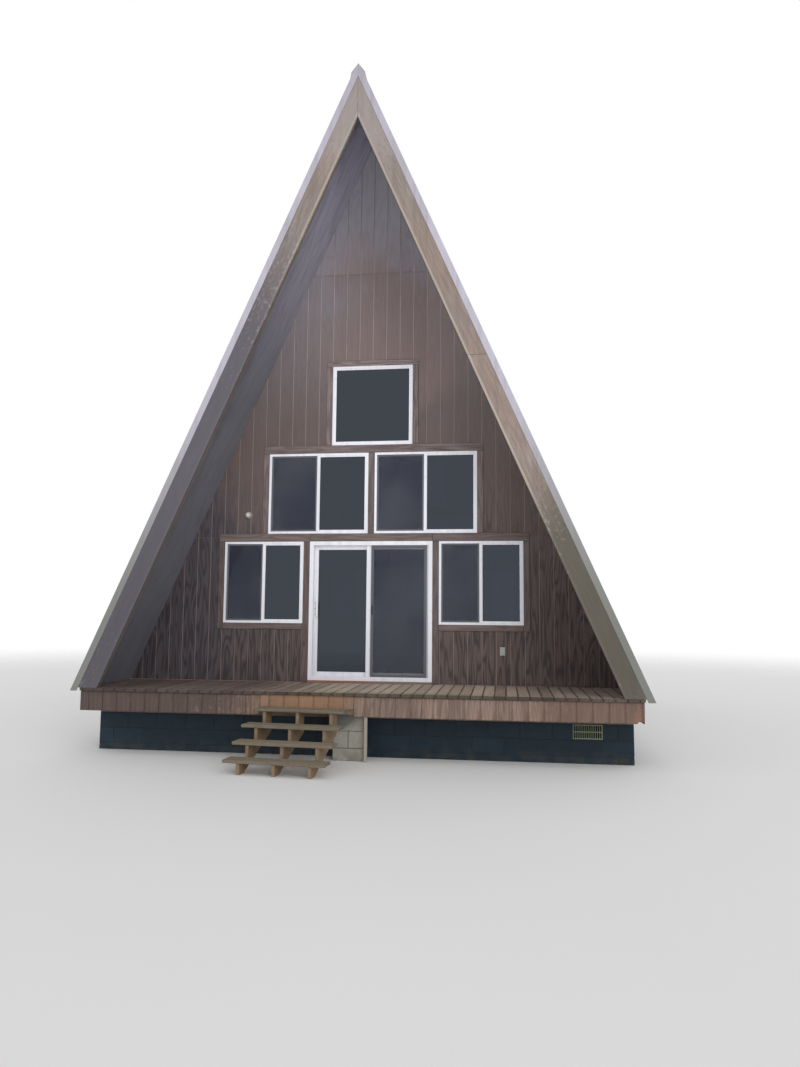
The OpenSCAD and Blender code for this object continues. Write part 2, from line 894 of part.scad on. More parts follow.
module stringer_outline() {
    back = tread_d - end_gap;
    under = board_t;
    drop = stringer_throat / cos(atan(stair_rise / stair_run));
    steps = [for (i = [0 : TREADS - 1]) each [
        [-i * stair_run + (i == 0 ? back : nosing + stair_run), stair_top - i * stair_rise - under],
        [-i * stair_run + nosing, stair_top - i * stair_rise - under],
    ]];
    low_y = nosing - stair_reach;
    polygon(concat(
        steps,
        [
            [low_y, 0],
            [low_y + stringer_throat + stringer_heel, 0],
            [back, stair_top - under - drop - stair_rise * (1 - nosing / stair_run)],
        ]));
}

module stair_stringers() {
    color([0.60, 0.47, 0.33]) placed() in_stair()
        for (i = [-1 : 1])
            translate([i * stringer_pitch - board_t / 2, 0, 0])
                rotate([90, 0, 90]) linear_extrude(board_t) stringer_outline();
}

module stair_treads() {
    color([0.62, 0.55, 0.44]) placed() in_stair()
        for (i = [0 : TREADS - 1])
            translate([
                i == 0 ? top_tread_x - top_tread_w / 2 : -tread_w / 2,
                -i * stair_run,
                stair_top - i * stair_rise - board_t])
                cube([i == 0 ? top_tread_w : tread_w, tread_d, board_t]);
}

foundation_front();
foundation_rear();
foundation_sides();
foundation_vent();
pier();
pier_post();
sill_timbers();
floor_frame();
room_floor();
porch_deck();
skirt_front();
skirt_sides();
front_wall_left();
front_wall_right();
front_wall_upper();
rear_wall_lower();
rear_wall_upper();
roof_left();
roof_right();
roofing_left();
roofing_right();
ridge_cap();
rake_boards_front();
rake_boards_rear();
rake_rafters();
rake_trims();
soffits();
casing_front();
casing_rear();
window_frames_front();
window_glass_front();
window_frames_rear();
window_glass_rear();
door_sill();
door_frame();
fixed_leaf();
fixed_glass();
door_leaf();
door_glass();
screen_frame();
screen_mesh();
outlet_cover();
porch_light();
stair_stringers();
stair_treads();
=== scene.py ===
"""Looks of an a-frame cabin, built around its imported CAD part. Metres, front to -Y, up +Z."""

import logging
import math
import random
from dataclasses import dataclass
from enum import Enum

import bmesh
import bpy
from mathutils import Euler, Matrix, Vector


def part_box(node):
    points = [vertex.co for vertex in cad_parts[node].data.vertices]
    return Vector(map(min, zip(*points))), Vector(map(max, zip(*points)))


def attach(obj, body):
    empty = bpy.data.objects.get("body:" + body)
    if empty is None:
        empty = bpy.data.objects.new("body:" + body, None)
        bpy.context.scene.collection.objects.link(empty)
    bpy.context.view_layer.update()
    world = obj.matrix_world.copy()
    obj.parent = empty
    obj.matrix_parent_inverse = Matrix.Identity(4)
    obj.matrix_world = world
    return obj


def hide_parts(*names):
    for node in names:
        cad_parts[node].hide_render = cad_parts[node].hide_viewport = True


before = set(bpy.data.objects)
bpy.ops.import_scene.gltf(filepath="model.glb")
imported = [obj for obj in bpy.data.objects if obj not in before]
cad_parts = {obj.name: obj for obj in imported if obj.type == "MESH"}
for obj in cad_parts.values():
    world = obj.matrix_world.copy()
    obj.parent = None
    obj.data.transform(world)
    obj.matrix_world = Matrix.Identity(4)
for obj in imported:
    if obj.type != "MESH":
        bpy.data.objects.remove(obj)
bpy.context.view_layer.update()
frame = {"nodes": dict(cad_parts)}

LOG = logging.getLogger("cabin")
Span = tuple[float, float]
Outline = list[tuple[float, float]]
Colour = tuple[float, float, float]
Place = tuple[float, float, float]
Box = tuple[float, float, float, float]
UP = Vector((0.0, 0.0, 1.0))
FORWARD = Vector((0.0, 1.0, 0.0))
RIGHT = Vector((1.0, 0.0, 0.0))


class Body(Enum):
    """Bodies of the cabin's own motion."""

    CABIN = "cabin"
    DOOR = "door"
    SCREEN = "screen"


@dataclass(frozen=True)
class Plane:
    """An upright plane that a gable, a skirt or a rake lies in."""

    origin: Vector
    normal: Vector

    @property
    def along(self) -> Vector:
        """Direction of the first coordinate, level."""
        return UP.cross(self.normal)

    def at(self, a: float, z: float, out: float) -> Vector:
        """Point at a along, z up and out from the plane."""
        return self.origin + self.along * a + UP * z + self.normal * out


@dataclass(frozen=True)
class Slope:
    """The line of the roof in a gable, measured from the deck."""

    rise: float = 8.310
    half: float = 3.640

    @property
    def angle(self) -> float:
        """Angle of the roof above the horizon."""
        return math.atan2(self.rise, self.half)

    def x_at(self, z: float, out: float) -> float:
        """Distance from the middle at height z, on the line moved out."""
        return (self.rise - z) / math.tan(self.angle) + out / math.sin(self.angle)

    def z_at(self, x: float, out: float) -> float:
        """Height at distance x from the middle, on the line moved out."""
        return self.rise - abs(x) * math.tan(self.angle) + out / math.cos(self.angle)

    def outward(self, side: int) -> Vector:
        """Direction away from the roof on one side."""
        return Vector((side * math.sin(self.angle), 0.0, math.cos(self.angle)))

    def down(self, side: int) -> Vector:
        """Direction down the roof on one side."""
        return Vector((side * math.cos(self.angle), 0.0, -math.sin(self.angle)))


SLOPE = Slope()
DECK_LOW, DECK_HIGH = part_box("porch_deck")
DECK, HALF_W = DECK_HIGH.z, DECK_HIGH.x
WALL_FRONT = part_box("front_wall_left")[0].y
WALL_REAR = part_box("rear_wall_lower")[1].y
RAKE_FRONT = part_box("rake_boards_front")[0].y
RAKE_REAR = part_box("rake_boards_rear")[1].y
GABLE_FRONT = Plane(Vector((0.0, WALL_FRONT, DECK)), -FORWARD)
GABLE_REAR = Plane(Vector((0.0, WALL_REAR, DECK)), FORWARD)
RAKE_PLANES = (Plane(Vector((0.0, RAKE_FRONT, DECK)), -FORWARD),
               Plane(Vector((0.0, RAKE_REAR, DECK)), FORWARD))


# Shader graphs


class Signal:
    """An output in a shader graph. Arithmetic with it adds Math nodes."""

    def __init__(self, graph: "Graph", socket: bpy.types.NodeSocket) -> None:
        """Keeps the output and its graph."""
        self.graph, self.socket = graph, socket

    def __add__(self, other: object) -> "Signal":
        """Sum of both."""
        return self.graph.math("ADD", self, other)

    def __sub__(self, other: object) -> "Signal":
        """This less the other."""
        return self.graph.math("SUBTRACT", self, other)

    def __rsub__(self, other: object) -> "Signal":
        """The other less this."""
        return self.graph.math("SUBTRACT", other, self)

    def __mul__(self, other: object) -> "Signal":
        """Product of both."""
        return self.graph.math("MULTIPLY", self, other)


class Graph:
    """Lays out and links the nodes of one material or node group."""

    def __init__(self, tree: bpy.types.NodeTree) -> None:
        """Takes the tree to build in."""
        self.tree = tree

    def node(self, kind: str, **values: object) -> bpy.types.Node:
        """Adds a node.

        Args:
            kind: Type of the node, without its ShaderNode prefix.
            values: Properties of the node.

        Returns:
            The new node.
        """
        made = self.tree.nodes.new(kind if kind.startswith("NodeGroup") else "ShaderNode" + kind)
        for key, value in values.items():
            setattr(made, key, value)
        return made

    def feed(self, socket: bpy.types.NodeSocket, value: object) -> None:
        """Links or sets an input.

        Args:
            socket: Input to fill.
            value: A signal, a number or a vector.
        """
        if isinstance(value, Signal):
            self.tree.links.new(value.socket, socket)
        elif isinstance(value, tuple) and socket.type == "RGBA":
            socket.default_value = (*value, 1.0)
        else:
            socket.default_value = value

    def fill(self, made: bpy.types.Node, *values: object, out: int | str = 0, **named: object) -> Signal:
        """Feeds the inputs of a node.

        Args:
            made: The node.
            values: What its first inputs get, in order.
            out: Which output to take.
            named: What other inputs get, by name.

        Returns:
            That output.
        """
        pairs = [*zip(made.inputs, values), *((made.inputs[name], value) for name, value in named.items())]
        for socket, value in pairs:
            self.feed(socket, value)
        return Signal(self, made.outputs[out])

    def math(self, kind: str, *values: object, clamp: bool = False) -> Signal:
        """Adds a Math node."""
        return self.fill(self.node("Math", operation=kind, use_clamp=clamp), *values)

    def vector(self, kind: str, *values: object) -> Signal:
        """Adds a Vector Math node. Its number is taken if it has one, else its vector."""
        out = "Value" if kind in ("DOT_PRODUCT", "DISTANCE") else "Vector"
        return self.fill(self.node("VectorMath", operation=kind), *values, out=out)

    def bright(self, colour: object, factor: object) -> Signal:
        """Scales a colour or a vector by a number."""
        return self.fill(self.node("VectorMath", operation="SCALE"), colour, Scale=factor)

    def combine(self, *numbers: object) -> Signal:
        """Joins three numbers to a vector."""
        return self.fill(self.node("CombineXYZ"), *numbers)

    def split(self, vector: Signal) -> list[Signal]:
        """Splits a vector into its three numbers."""
        made = self.node("SeparateXYZ")
        return [self.fill(made, vector, out=k) for k in range(3)]

    def attribute(self, name: str, out: str = "Vector") -> Signal:
        """Reads an attribute that the stock leaves on its mesh."""
        return self.fill(self.node("Attribute", attribute_name=name), out=out)

    def noise(self, vector: object, scale: object, detail: float = 2.0, rough: float = 0.5) -> Signal:
        """Adds smooth noise.

        Args:
            vector: Coordinates in metres.
            scale: Features per metre, or a vector that stretches the coordinates first.
            detail: Number of finer layers.
            rough: Strength of those layers.

        Returns:
            A value of about 0.2 to 0.8.
        """
        if isinstance(scale, tuple):
            vector, scale = self.vector("MULTIPLY", vector, scale), 1.0
        return self.fill(self.node("TexNoise"), Vector=vector, Scale=scale, Detail=detail, Roughness=rough)

    def smooth(self, value: object, low: float, high: float) -> Signal:
        """Maps low..high to 0..1 with soft ends."""
        return self.fill(self.node("MapRange", interpolation_type="SMOOTHSTEP"), value, low, high)

    def mix(self, share: object, first: object, second: object) -> Signal:
        """Mixes two colours.

        Args:
            share: Share of the second.
            first: First colour.
            second: Second colour.

        Returns:
            The mixed colour.
        """
        made = self.node("Mix", data_type="RGBA")
        for socket, value in ((made.inputs[0], share), (made.inputs[6], first), (made.inputs[7], second)):
            self.feed(socket, value)
        return Signal(self, made.outputs[2])

    def effect(self, which: "Effect", **inputs: object) -> dict[str, Signal]:
        """Places a shared node group.

        Args:
            which: Which group.
            inputs: Values or signals for its inputs.

        Returns:
            The group's masks by name.
        """
        made = self.node("Group", node_tree=EffectGroup.of(which))
        for name, value in inputs.items():
            self.feed(made.inputs[name], value)
        return {socket.name: Signal(self, socket) for socket in made.outputs}


class Effect(Enum):
    """Node groups that the finishes share: name and inputs, where None is a vector."""

    GRAIN = ("wood_grain", {"Vector": None, "Figure Size": 1.0, "Knot Share": 0.3})
    WEATHER = ("weather", {"Vector": None})
    RIM = ("board_rim", {"Mid": None, "Half": None, "Width": 0.02})
    STONE = ("stone_face", {"Vector": None})
    WEAVE = ("screen_weave", {"Vector": None, "Pitch": 0.0016})


class EffectGroup(Graph):
    """Graph of a shared node group, filled by the method that has the effect's name."""

    made: dict[Effect, bpy.types.NodeTree] = {}

    @classmethod
    def of(cls, which: Effect) -> bpy.types.NodeTree:
        """Finds a group, or builds it at its first use.

        Args:
            which: Which group.

        Returns:
            The group's node tree.
        """
        if which not in cls.made:
            cls.made[which] = cls(which).tree
        return cls.made[which]

    def __init__(self, which: Effect) -> None:
        """Builds a group with its sockets.

        Args:
            which: Which group.
        """
        name, inputs = which.value
        super().__init__(bpy.data.node_groups.new(name, "ShaderNodeTree"))
        for label, default in inputs.items():
            kind = "NodeSocketVector" if default is None else "NodeSocketFloat"
            socket = self.tree.interface.new_socket(label, in_out="INPUT", socket_type=kind)
            if default is not None:
                socket.default_value = default
        came, goes = self.node("NodeGroupInput"), self.node("NodeGroupOutput")
        self.has = {label: Signal(self, came.outputs[label]) for label in inputs}
        for label, mask in getattr(self, which.name.lower())().items():
            self.tree.interface.new_socket(label, in_out="OUTPUT", socket_type="NodeSocketFloat")
            self.feed(goes.inputs[label], mask)

    def grain(self) -> dict[str, Signal]:
        """Grain of sawn or peeled wood. The first number of its vector runs along the fibres.

        Returns:
            Masks of fine fibres, broad figure and knots, and the height.
        """
        wander = self.noise(self.has["Vector"], (0.9, 3.0, 3.0), 1.0)
        bent = self.vector("ADD", self.has["Vector"], self.combine(0.0, (wander - 0.5) * 0.09, 0.0))
        fibre = self.smooth(self.noise(bent, (2.2, 95.0, 95.0), 5.0, 0.65), 0.34, 0.66)
        growth = self.noise(self.bright(bent, self.has["Figure Size"]), (0.55, 4.4, 4.4), 1.2, 0.45)
        rings = self.math("PINGPONG", growth * 13.0 + fibre * 0.16, 1.0)
        figure = self.smooth(rings, 0.25, 0.95)
        cells = self.node("TexVoronoi")
        near = self.fill(cells, self.vector("MULTIPLY", bent, (2.1, 7.0, 0.6)), Scale=1.0, out="Distance")
        own = self.split(Signal(self, cells.outputs["Color"]))[0]
        knots = self.smooth(near, 0.13, 0.05) * self.math("LESS_THAN", own, self.has["Knot Share"])
        return {"Fibre": fibre, "Figure": figure, "Knots": knots, "Height": fibre * 0.6 + figure * 0.4}

    def weather(self) -> dict[str, Signal]:
        """Weathering, by the place on the building.

        Returns:
            Masks of broad patches, streaks that run down and spots of dirt.
        """
        place = self.has["Vector"]
        return {"Patches": self.smooth(self.noise(place, (0.9, 0.9, 0.9), 4.0, 0.6), 0.38, 0.66),
                "Streaks": self.smooth(self.noise(place, (13.0, 13.0, 0.55), 3.0, 0.6), 0.42, 0.7),
                "Spots": self.smooth(self.noise(place, (17.0, 17.0, 17.0), 4.0, 0.7), 0.5, 0.72)}

    def rim(self) -> dict[str, Signal]:
        """Wear along the edges and ends of a board, from its middle and its half sizes.

        Returns:
            A mask that is 1 on the edge.
        """
        mid = self.has["Mid"]
        inside = self.split(self.vector("SUBTRACT", self.has["Half"], self.vector("ABSOLUTE", mid)))
        ragged = self.math("MINIMUM", *inside[:2]) + (self.noise(mid, 24.0, 3.0) - 0.5) * 0.03
        return {"Rim": 1.0 - self.math("DIVIDE", ragged, self.has["Width"], clamp=True)}

    def stone(self) -> dict[str, Signal]:
        """Face of pressed concrete.

        Returns:
            Masks of sand, pores and blotches, and the height.
        """
        place = self.has["Vector"]
        sand = self.noise(place, 240.0, 3.0, 0.7)
        near = self.fill(self.node("TexVoronoi"), place, Scale=85.0, out="Distance")
        pores = self.smooth(near, 0.34, 0.16)
        blotch = self.smooth(self.noise(place, 5.5, 4.0, 0.6), 0.35, 0.68)
        return {"Sand": sand, "Pores": pores, "Blotch": blotch, "Height": sand * 0.6 - pores * 0.5}

    def weave(self) -> dict[str, Signal]:
        """Plain weave of an insect screen at its true pitch.

        Returns:
            A mask that is 1 on a thread.
        """
        x, _, z = self.split(self.has["Vector"])
        turns = [self.math("DIVIDE", place, self.has["Pitch"]) * math.tau for place in (x, z)]
        rows = [self.smooth(self.math("COSINE", turn), 0.1, 0.75) for turn in turns]
        return {"Threads": self.math("MAXIMUM", *rows)}


class Surface(Graph):
    """Graph of a material: its shader, its place on the building, the weather there and its colour so far."""

    def __init__(self, made: bpy.types.Material, base: Colour) -> None:
        """Starts a material.

        Args:
            made: The material, still empty.
            base: Its base colour.
        """
        made.use_nodes = True
        super().__init__(made.node_tree)
        self.inputs = made.node_tree.nodes["Principled BSDF"].inputs
        self.place = self.fill(self.node("TexCoord"), out="Object")
        self.weather = self.effect(Effect.WEATHER, Vector=self.place)
        self.colour: object = base

    def lay(self, colour: Colour, mask: Signal, share: object = 1.0) -> None:
        """Lays a share of a colour over the one so far, where the mask is 1."""
        self.colour = self.mix(mask * share, self.colour, colour)

    def dim(self, factor: Signal) -> None:
        """Scales the colour so far."""
        self.colour = self.bright(self.colour, factor)

    def roughen(self, base: float, more: Signal) -> None:
        """Feeds the shader's roughness."""
        self.feed(self.inputs["Roughness"], self.math("ADD", base, more, clamp=True))

    def bump(self, height: Signal, depth: float, strength: float = 0.6) -> None:
        """Feeds a height of 0 to 1, which stands for a depth in metres, to the shader's normal."""
        normal = self.fill(self.node("Bump"), Height=height, Distance=depth, Strength=strength)
        self.feed(self.inputs["Normal"], normal)


# Finishes


class Fibres(Enum):
    """How the fibres of a piece run: along, across, and if both sides of the ridge mirror."""

    BOARD = ((1.0, 0.0, 0.0), (0.0, 1.0, 0.0), False)
    UPRIGHT = ((0.0, 0.0, 1.0), (1.0, 0.3, 0.0), False)
    LENGTHWISE = ((0.0, 1.0, 0.0), (1.0, 0.0, 0.2), False)
    CROSSWISE = ((1.0, 0.0, 0.0), (0.0, 1.0, 0.4), False)
    ON_SLOPE = ((0.4012, 0.0, -0.9160), (0.9160, 0.0, 0.4012), True)
    ALONG_ROOF = ((0.0, 1.0, 0.0), (0.4012, 0.0, -0.9160), True)
    ON_STAIR = ((0.0, 0.8405, 0.5418), (0.0, -0.5418, 0.8405), False)


@dataclass(frozen=True)
class Patch:
    """A soft-edged spot of another colour."""

    centre: Place
    reach: Place
    colour: Colour
    share: float = 0.8

    def paint(self, on: Surface, breaker: Signal) -> None:
        """Paints the spot.

        Args:
            on: Surface to paint.
            breaker: Mask that makes the spot's edge uneven.
        """
        moved = on.vector("SUBTRACT", on.place, self.centre)
        away = on.vector("DISTANCE", on.vector("DIVIDE", moved, self.reach))
        on.lay(self.colour, on.smooth(away + (breaker - 0.5) * 0.45, 1.0, 0.35), self.share)


@dataclass(frozen=True)
class Finish:
    """What every finish has: a name, its colour and its gloss."""

    name: str
    base: Colour
    roughness: float = 0.6

    def material(self) -> bpy.types.Material:
        """Makes the material, or finds it if it is made.

        Returns:
            The material of this finish.
        """
        made = bpy.data.materials.get(self.name)
        if not made:
            made = bpy.data.materials.new(self.name)
            on = Surface(made, self.base)
            on.inputs["Roughness"].default_value = self.roughness
            self.dress(on)
            on.feed(on.inputs["Base Color"], on.colour)
        return made

    def dress(self, on: Surface) -> None:
        """Lays colours and feeds the shader; each kind of finish has its own."""
        raise NotImplementedError


@dataclass(frozen=True)
class Wood(Finish):
    """Wood, stained or bare, with fibres, figure, knots and weather."""

    fibre: Colour = (0.05, 0.03, 0.02)
    figure: Colour = (0.05, 0.03, 0.02)
    faded: Colour = (0.3, 0.27, 0.24)
    rim: Colour = (0.04, 0.03, 0.025)
    fibre_share: float = 0.5
    figure_share: float = 0.5
    faded_share: float = 0.4
    rim_share: float = 0.5
    rim_width: float = 0.012
    knots: float = 0.3
    figure_size: float = 1.0
    spread: float = 0.35
    depth: float = 0.0015
    runs: Fibres = Fibres.BOARD
    bands: tuple[Patch, ...] = ()
    patches: tuple[Patch, ...] = ()
    streak: Colour | None = None
    # Heights and colour of a paler top: painted light for surfaces shaded under the overhang
    high: tuple[float, float, Colour] | None = None
    calm: tuple[float, float, float] | None = None
    # Width and colour of a pale strip along one long edge: a painted highlight
    edge_highlight: tuple[float, Colour] | None = None

    def dress(self, on: Surface) -> None:
        """Lays fibres, figure, stains and worn edges, and painted light and shade where the finish has them.

        Args:
            on: Surface to dress.
        """
        along, across, folds = self.runs.value
        x, y, z = on.split(on.place)
        if self.runs is Fibres.BOARD:
            mid, half, tone = on.attribute("mid"), on.attribute("half"), on.attribute("tone", "Fac")
            fibres = on.vector("ADD", mid, on.bright((37.3, 17.1, 53.7), tone))
        else:
            spot = on.combine(on.math("ABSOLUTE", x), y, z) if folds else on.place
            axes = (along, across, tuple(Vector(along).cross(Vector(across))))
            fibres = on.combine(*(on.vector("DOT_PRODUCT", spot, axis) for axis in axes))
        grain = on.effect(
            Effect.GRAIN, Vector=fibres, **{"Figure Size": self.figure_size, "Knot Share": self.knots})
        on.lay(self.faded, on.weather["Patches"], self.faded_share)
        # Painted light: the colour turns paler between two heights, lifting what the overhang shades
        if self.high:
            low, top, pale = self.high
            on.lay(pale, on.smooth(z, low, top))
        for band in self.bands:
            band.paint(on, on.weather["Patches"])
        kept: object = 1.0
        if self.calm:
            low, top, left = self.calm
            risen = z + on.noise(on.place, 0.7) * 1.6
            kept = 1.0 - on.smooth(risen, low + 0.8, top + 0.8) * (1.0 - left)
        on.lay(self.figure, grain["Figure"] * self.figure_share, kept)
        on.lay(self.fibre, grain["Fibre"] * self.fibre_share, kept)
        on.lay(self.fibre, grain["Knots"], 0.75)
        if self.streak:
            on.lay(self.streak, on.weather["Streaks"], 0.55)
        # Painted highlight: a pale strip along one long edge of each board
        if self.edge_highlight:
            wide, pale = self.edge_highlight
            on.lay(pale, on.smooth(on.split(mid)[1] + on.split(half)[1], wide, wide * 0.7), 0.7)
        for patch in self.patches:
            patch.paint(on, on.weather["Spots"])
        if self.runs is Fibres.BOARD:
            edge = on.effect(Effect.RIM, Mid=mid, Half=half, Width=self.rim_width)
            on.lay(self.rim, edge["Rim"], self.rim_share)
            on.dim(tone * self.spread + (1.0 - self.spread / 2))
        on.roughen(self.roughness, grain["Fibre"] * 0.14 + on.weather["Spots"] * 0.08)
        on.bump(grain["Height"], self.depth)


@dataclass(frozen=True)
class Coated(Finish):
    """Painted or coated metal, with water streaks, dirt and slight dents."""

    dirt: Colour = (0.12, 0.11, 0.1)
    streaks: float = 0.35
    dents: float = 0.002
    foot: tuple[float, float, Colour] | None = None

    def dress(self, on: Surface) -> None:
        """Lays a dull foot, patches, streaks and fine dirt.

        Args:
            on: Surface to dress.
        """
        fine = on.smooth(on.noise(on.place, 55.0, 4.0, 0.7), 0.35, 0.75)
        if self.foot:
            low, top, dull = self.foot
            on.lay(dull, on.smooth(on.split(on.place)[2], top, low))
        for mask, share in ((on.weather["Patches"], 0.16), (on.weather["Streaks"], self.streaks),
                            (fine * on.weather["Spots"], 0.3)):
            on.lay(self.dirt, mask, share)
        on.roughen(self.roughness, fine * 0.18)
        on.bump(on.noise(on.place, (3.0, 3.0, 0.9)), self.dents, 0.5)


@dataclass(frozen=True)
class Moulded(Finish):
    """Moulded plastic or smooth paint with dust, and maybe another colour further back."""

    dirt: Colour = (0.25, 0.24, 0.22)
    dust: float = 0.25
    rear: tuple[float, float, Colour] | None = None

    def dress(self, on: Surface) -> None:
        """Lays the colour at the rear and the dust.

        Args:
            on: Surface to dress.
        """
        if self.rear:
            low, high, other = self.rear
            on.lay(other, on.smooth(on.split(on.place)[1], low, high))
        dusty = on.math("MAXIMUM", on.weather["Streaks"], on.weather["Spots"]) * self.dust
        on.lay(self.dirt, dusty)
        on.roughen(self.roughness, dusty * 0.5)
        on.bump(on.noise(on.place, 420.0), 0.0002, 0.3)


@dataclass(frozen=True)
class Block(Finish):
    """Concrete block, bare or painted, with soil splashed on its foot."""

    worn: Colour = (0.2, 0.2, 0.2)
    worn_share: float = 0.2
    soil: Colour = (0.16, 0.13, 0.1)
    pore: Colour = (0.02, 0.02, 0.02)
    patches: tuple[Patch, ...] = ()

    def dress(self, on: Surface) -> None:
        """Lays blotches, pores, sand and soil.

        Args:
            on: Surface to dress.
        """
        stone = on.effect(Effect.STONE, Vector=on.place)
        for mask in (stone["Blotch"], on.weather["Spots"]):
            on.lay(self.worn, mask, self.worn_share)
        for patch in self.patches:
            patch.paint(on, on.weather["Spots"])
        on.lay(self.pore, stone["Pores"], 0.45)
        on.dim(stone["Sand"] * 0.5 + 0.72)
        on.dim(on.attribute("tone", "Fac") * 0.4 + 0.8)
        on.lay(self.soil, on.smooth(on.split(on.place)[2], 0.2, 0.0) * stone["Blotch"], 0.6)
        on.roughen(self.roughness, stone["Sand"] * 0.2)
        on.bump(stone["Height"], 0.0025, 0.8)


@dataclass(frozen=True)
class Pane(Finish):
    """Window glass with a faint film of dust and a slight wave."""

    bend: float = 1.72
    sheen: Colour = (0.72, 0.82, 1.0)

    def dress(self, on: Surface) -> None:
        """Sets the glass, its film and its wave.

        Args:
            on: Surface to dress.
        """
        for name, value in (("Transmission Weight", 1.0), ("IOR", self.bend), ("Specular Tint", self.sheen)):
            on.feed(on.inputs[name], value)
        on.roughen(self.roughness, on.weather["Patches"] * 0.012)
        on.bump(on.noise(on.place, 1.1, 0.0), 0.0006, 0.3)


@dataclass(frozen=True)
class Mesh(Finish):
    """Insect mesh that lets part of the view through."""

    dust: Colour = (0.17, 0.18, 0.22)

    def dress(self, on: Surface) -> None:
        """Lays dust and feeds the alpha of threads and holes.

        Args:
            on: Surface to dress.
        """
        threads = on.effect(Effect.WEAVE, Vector=on.place)["Threads"]
        on.lay(self.dust, on.weather["Patches"], 0.4)
        on.feed(on.inputs["Alpha"], on.math("ADD", 0.14, threads * 0.4, clamp=True))
        on.bump(threads, 0.0002, 0.4)


# Outlines and mesh stock


def tidy(outline: Outline) -> Outline:
    """Drops points of an outline that repeat or lie on a straight edge.

    Args:
        outline: Corners in order.

    Returns:
        The corners that matter.
    """
    points = [p for p, q in zip(outline, outline[1:] + outline[:1]) if math.dist(p, q) > 1e-5]
    kept = []
    for k, p in enumerate(points):
        a, b = points[k - 1], points[(k + 1) % len(points)]
        if abs((p[0] - a[0]) * (b[1] - p[1]) - (p[1] - a[1]) * (b[0] - p[0])) > 1e-7:
            kept.append(p)
    return kept


def inset(outline: Outline, by: float) -> Outline:
    """Moves each edge of an anticlockwise outline inwards.

    Args:
        outline: Corners.
        by: Distance.

    Returns:
        The corners moved in.
    """
    moved = []
    for k, p in enumerate(outline):
        a, here, b = Vector(outline[k - 1]), Vector(p), Vector(outline[(k + 1) % len(outline)])
        one, two = (Vector((-edge.y, edge.x)).normalized() for edge in (here - a, b - here))
        moved.append(tuple(here + (one + two) * (by / max(0.25, 1 + one.dot(two)))))
    return moved


def clip(outline: Outline, a: float, b: float, c: float) -> Outline:
    """Keeps the part of an outline where a*x + b*z is at most c.

    Args:
        outline: Corners in order.
        a: Factor of the first coordinate.
        b: Factor of the second.
        c: Limit.

    Returns:
        The corners of what is left.
    """
    kept = []
    for p, q in zip(outline, outline[1:] + outline[:1]):
        dp, dq = a * p[0] + b * p[1] - c, a * q[0] + b * q[1] - c
        if dp <= 0:
            kept.append(p)
        if dp * dq < 0:
            t = dp / (dp - dq)
            kept.append((p[0] + (q[0] - p[0]) * t, p[1] + (q[1] - p[1]) * t))
    return kept


def rectangle(x0: float, z0: float, x1: float, z1: float) -> Outline:
    """Corners of a rectangle, anticlockwise."""
    return [(x0, z0), (x1, z0), (x1, z1), (x0, z1)]


def mirrored(outline: Outline) -> Outline:
    """The same outline on the other side of the middle, anticlockwise again."""
    return [(-x, z) for x, z in reversed(outline)]


def joined(cells: list[Outline], splits: list[float]) -> list[Outline]:
    """Joins cells that share upright edges into larger outlines.

    Args:
        cells: Outlines that don't overlap.
        splits: Places along where cells meet.

    Returns:
        The outlines round the joined cells.
    """
    cells = [[(round(x, 6), round(z, 6)) for x, z in cell] for cell in cells]
    marks = {round(x, 6): {z for cell in cells for at, z in cell if at == round(x, 6)} for x in splits}
    edges: dict[tuple, None] = {}
    for cell in cells:
        for p, q in zip(cell, cell[1:] + cell[:1]):
            stops = [p, q]
            if p[0] == q[0] and p[0] in marks:
                between = {z for z in marks[p[0]] if min(p[1], q[1]) < z < max(p[1], q[1])}
                stops[1:1] = [(p[0], z) for z in sorted(between, reverse=q[1] < p[1])]
            for s, t in zip(stops, stops[1:]):
                if (t, s) in edges:
                    del edges[(t, s)]
                elif s != t:
                    edges[(s, t)] = None
    follow: dict[tuple, list[tuple]] = {}
    for s, t in edges:
        follow.setdefault(s, []).append(t)
    loops = []
    while follow:
        here = next(iter(follow))
        loop = []
        while here in follow:
            loop.append(here)
            step = follow[here].pop()
            if not follow[here]:
                del follow[here]
            here = step
            if here == loop[0]:
                break
        loops.append(loop)
    return loops


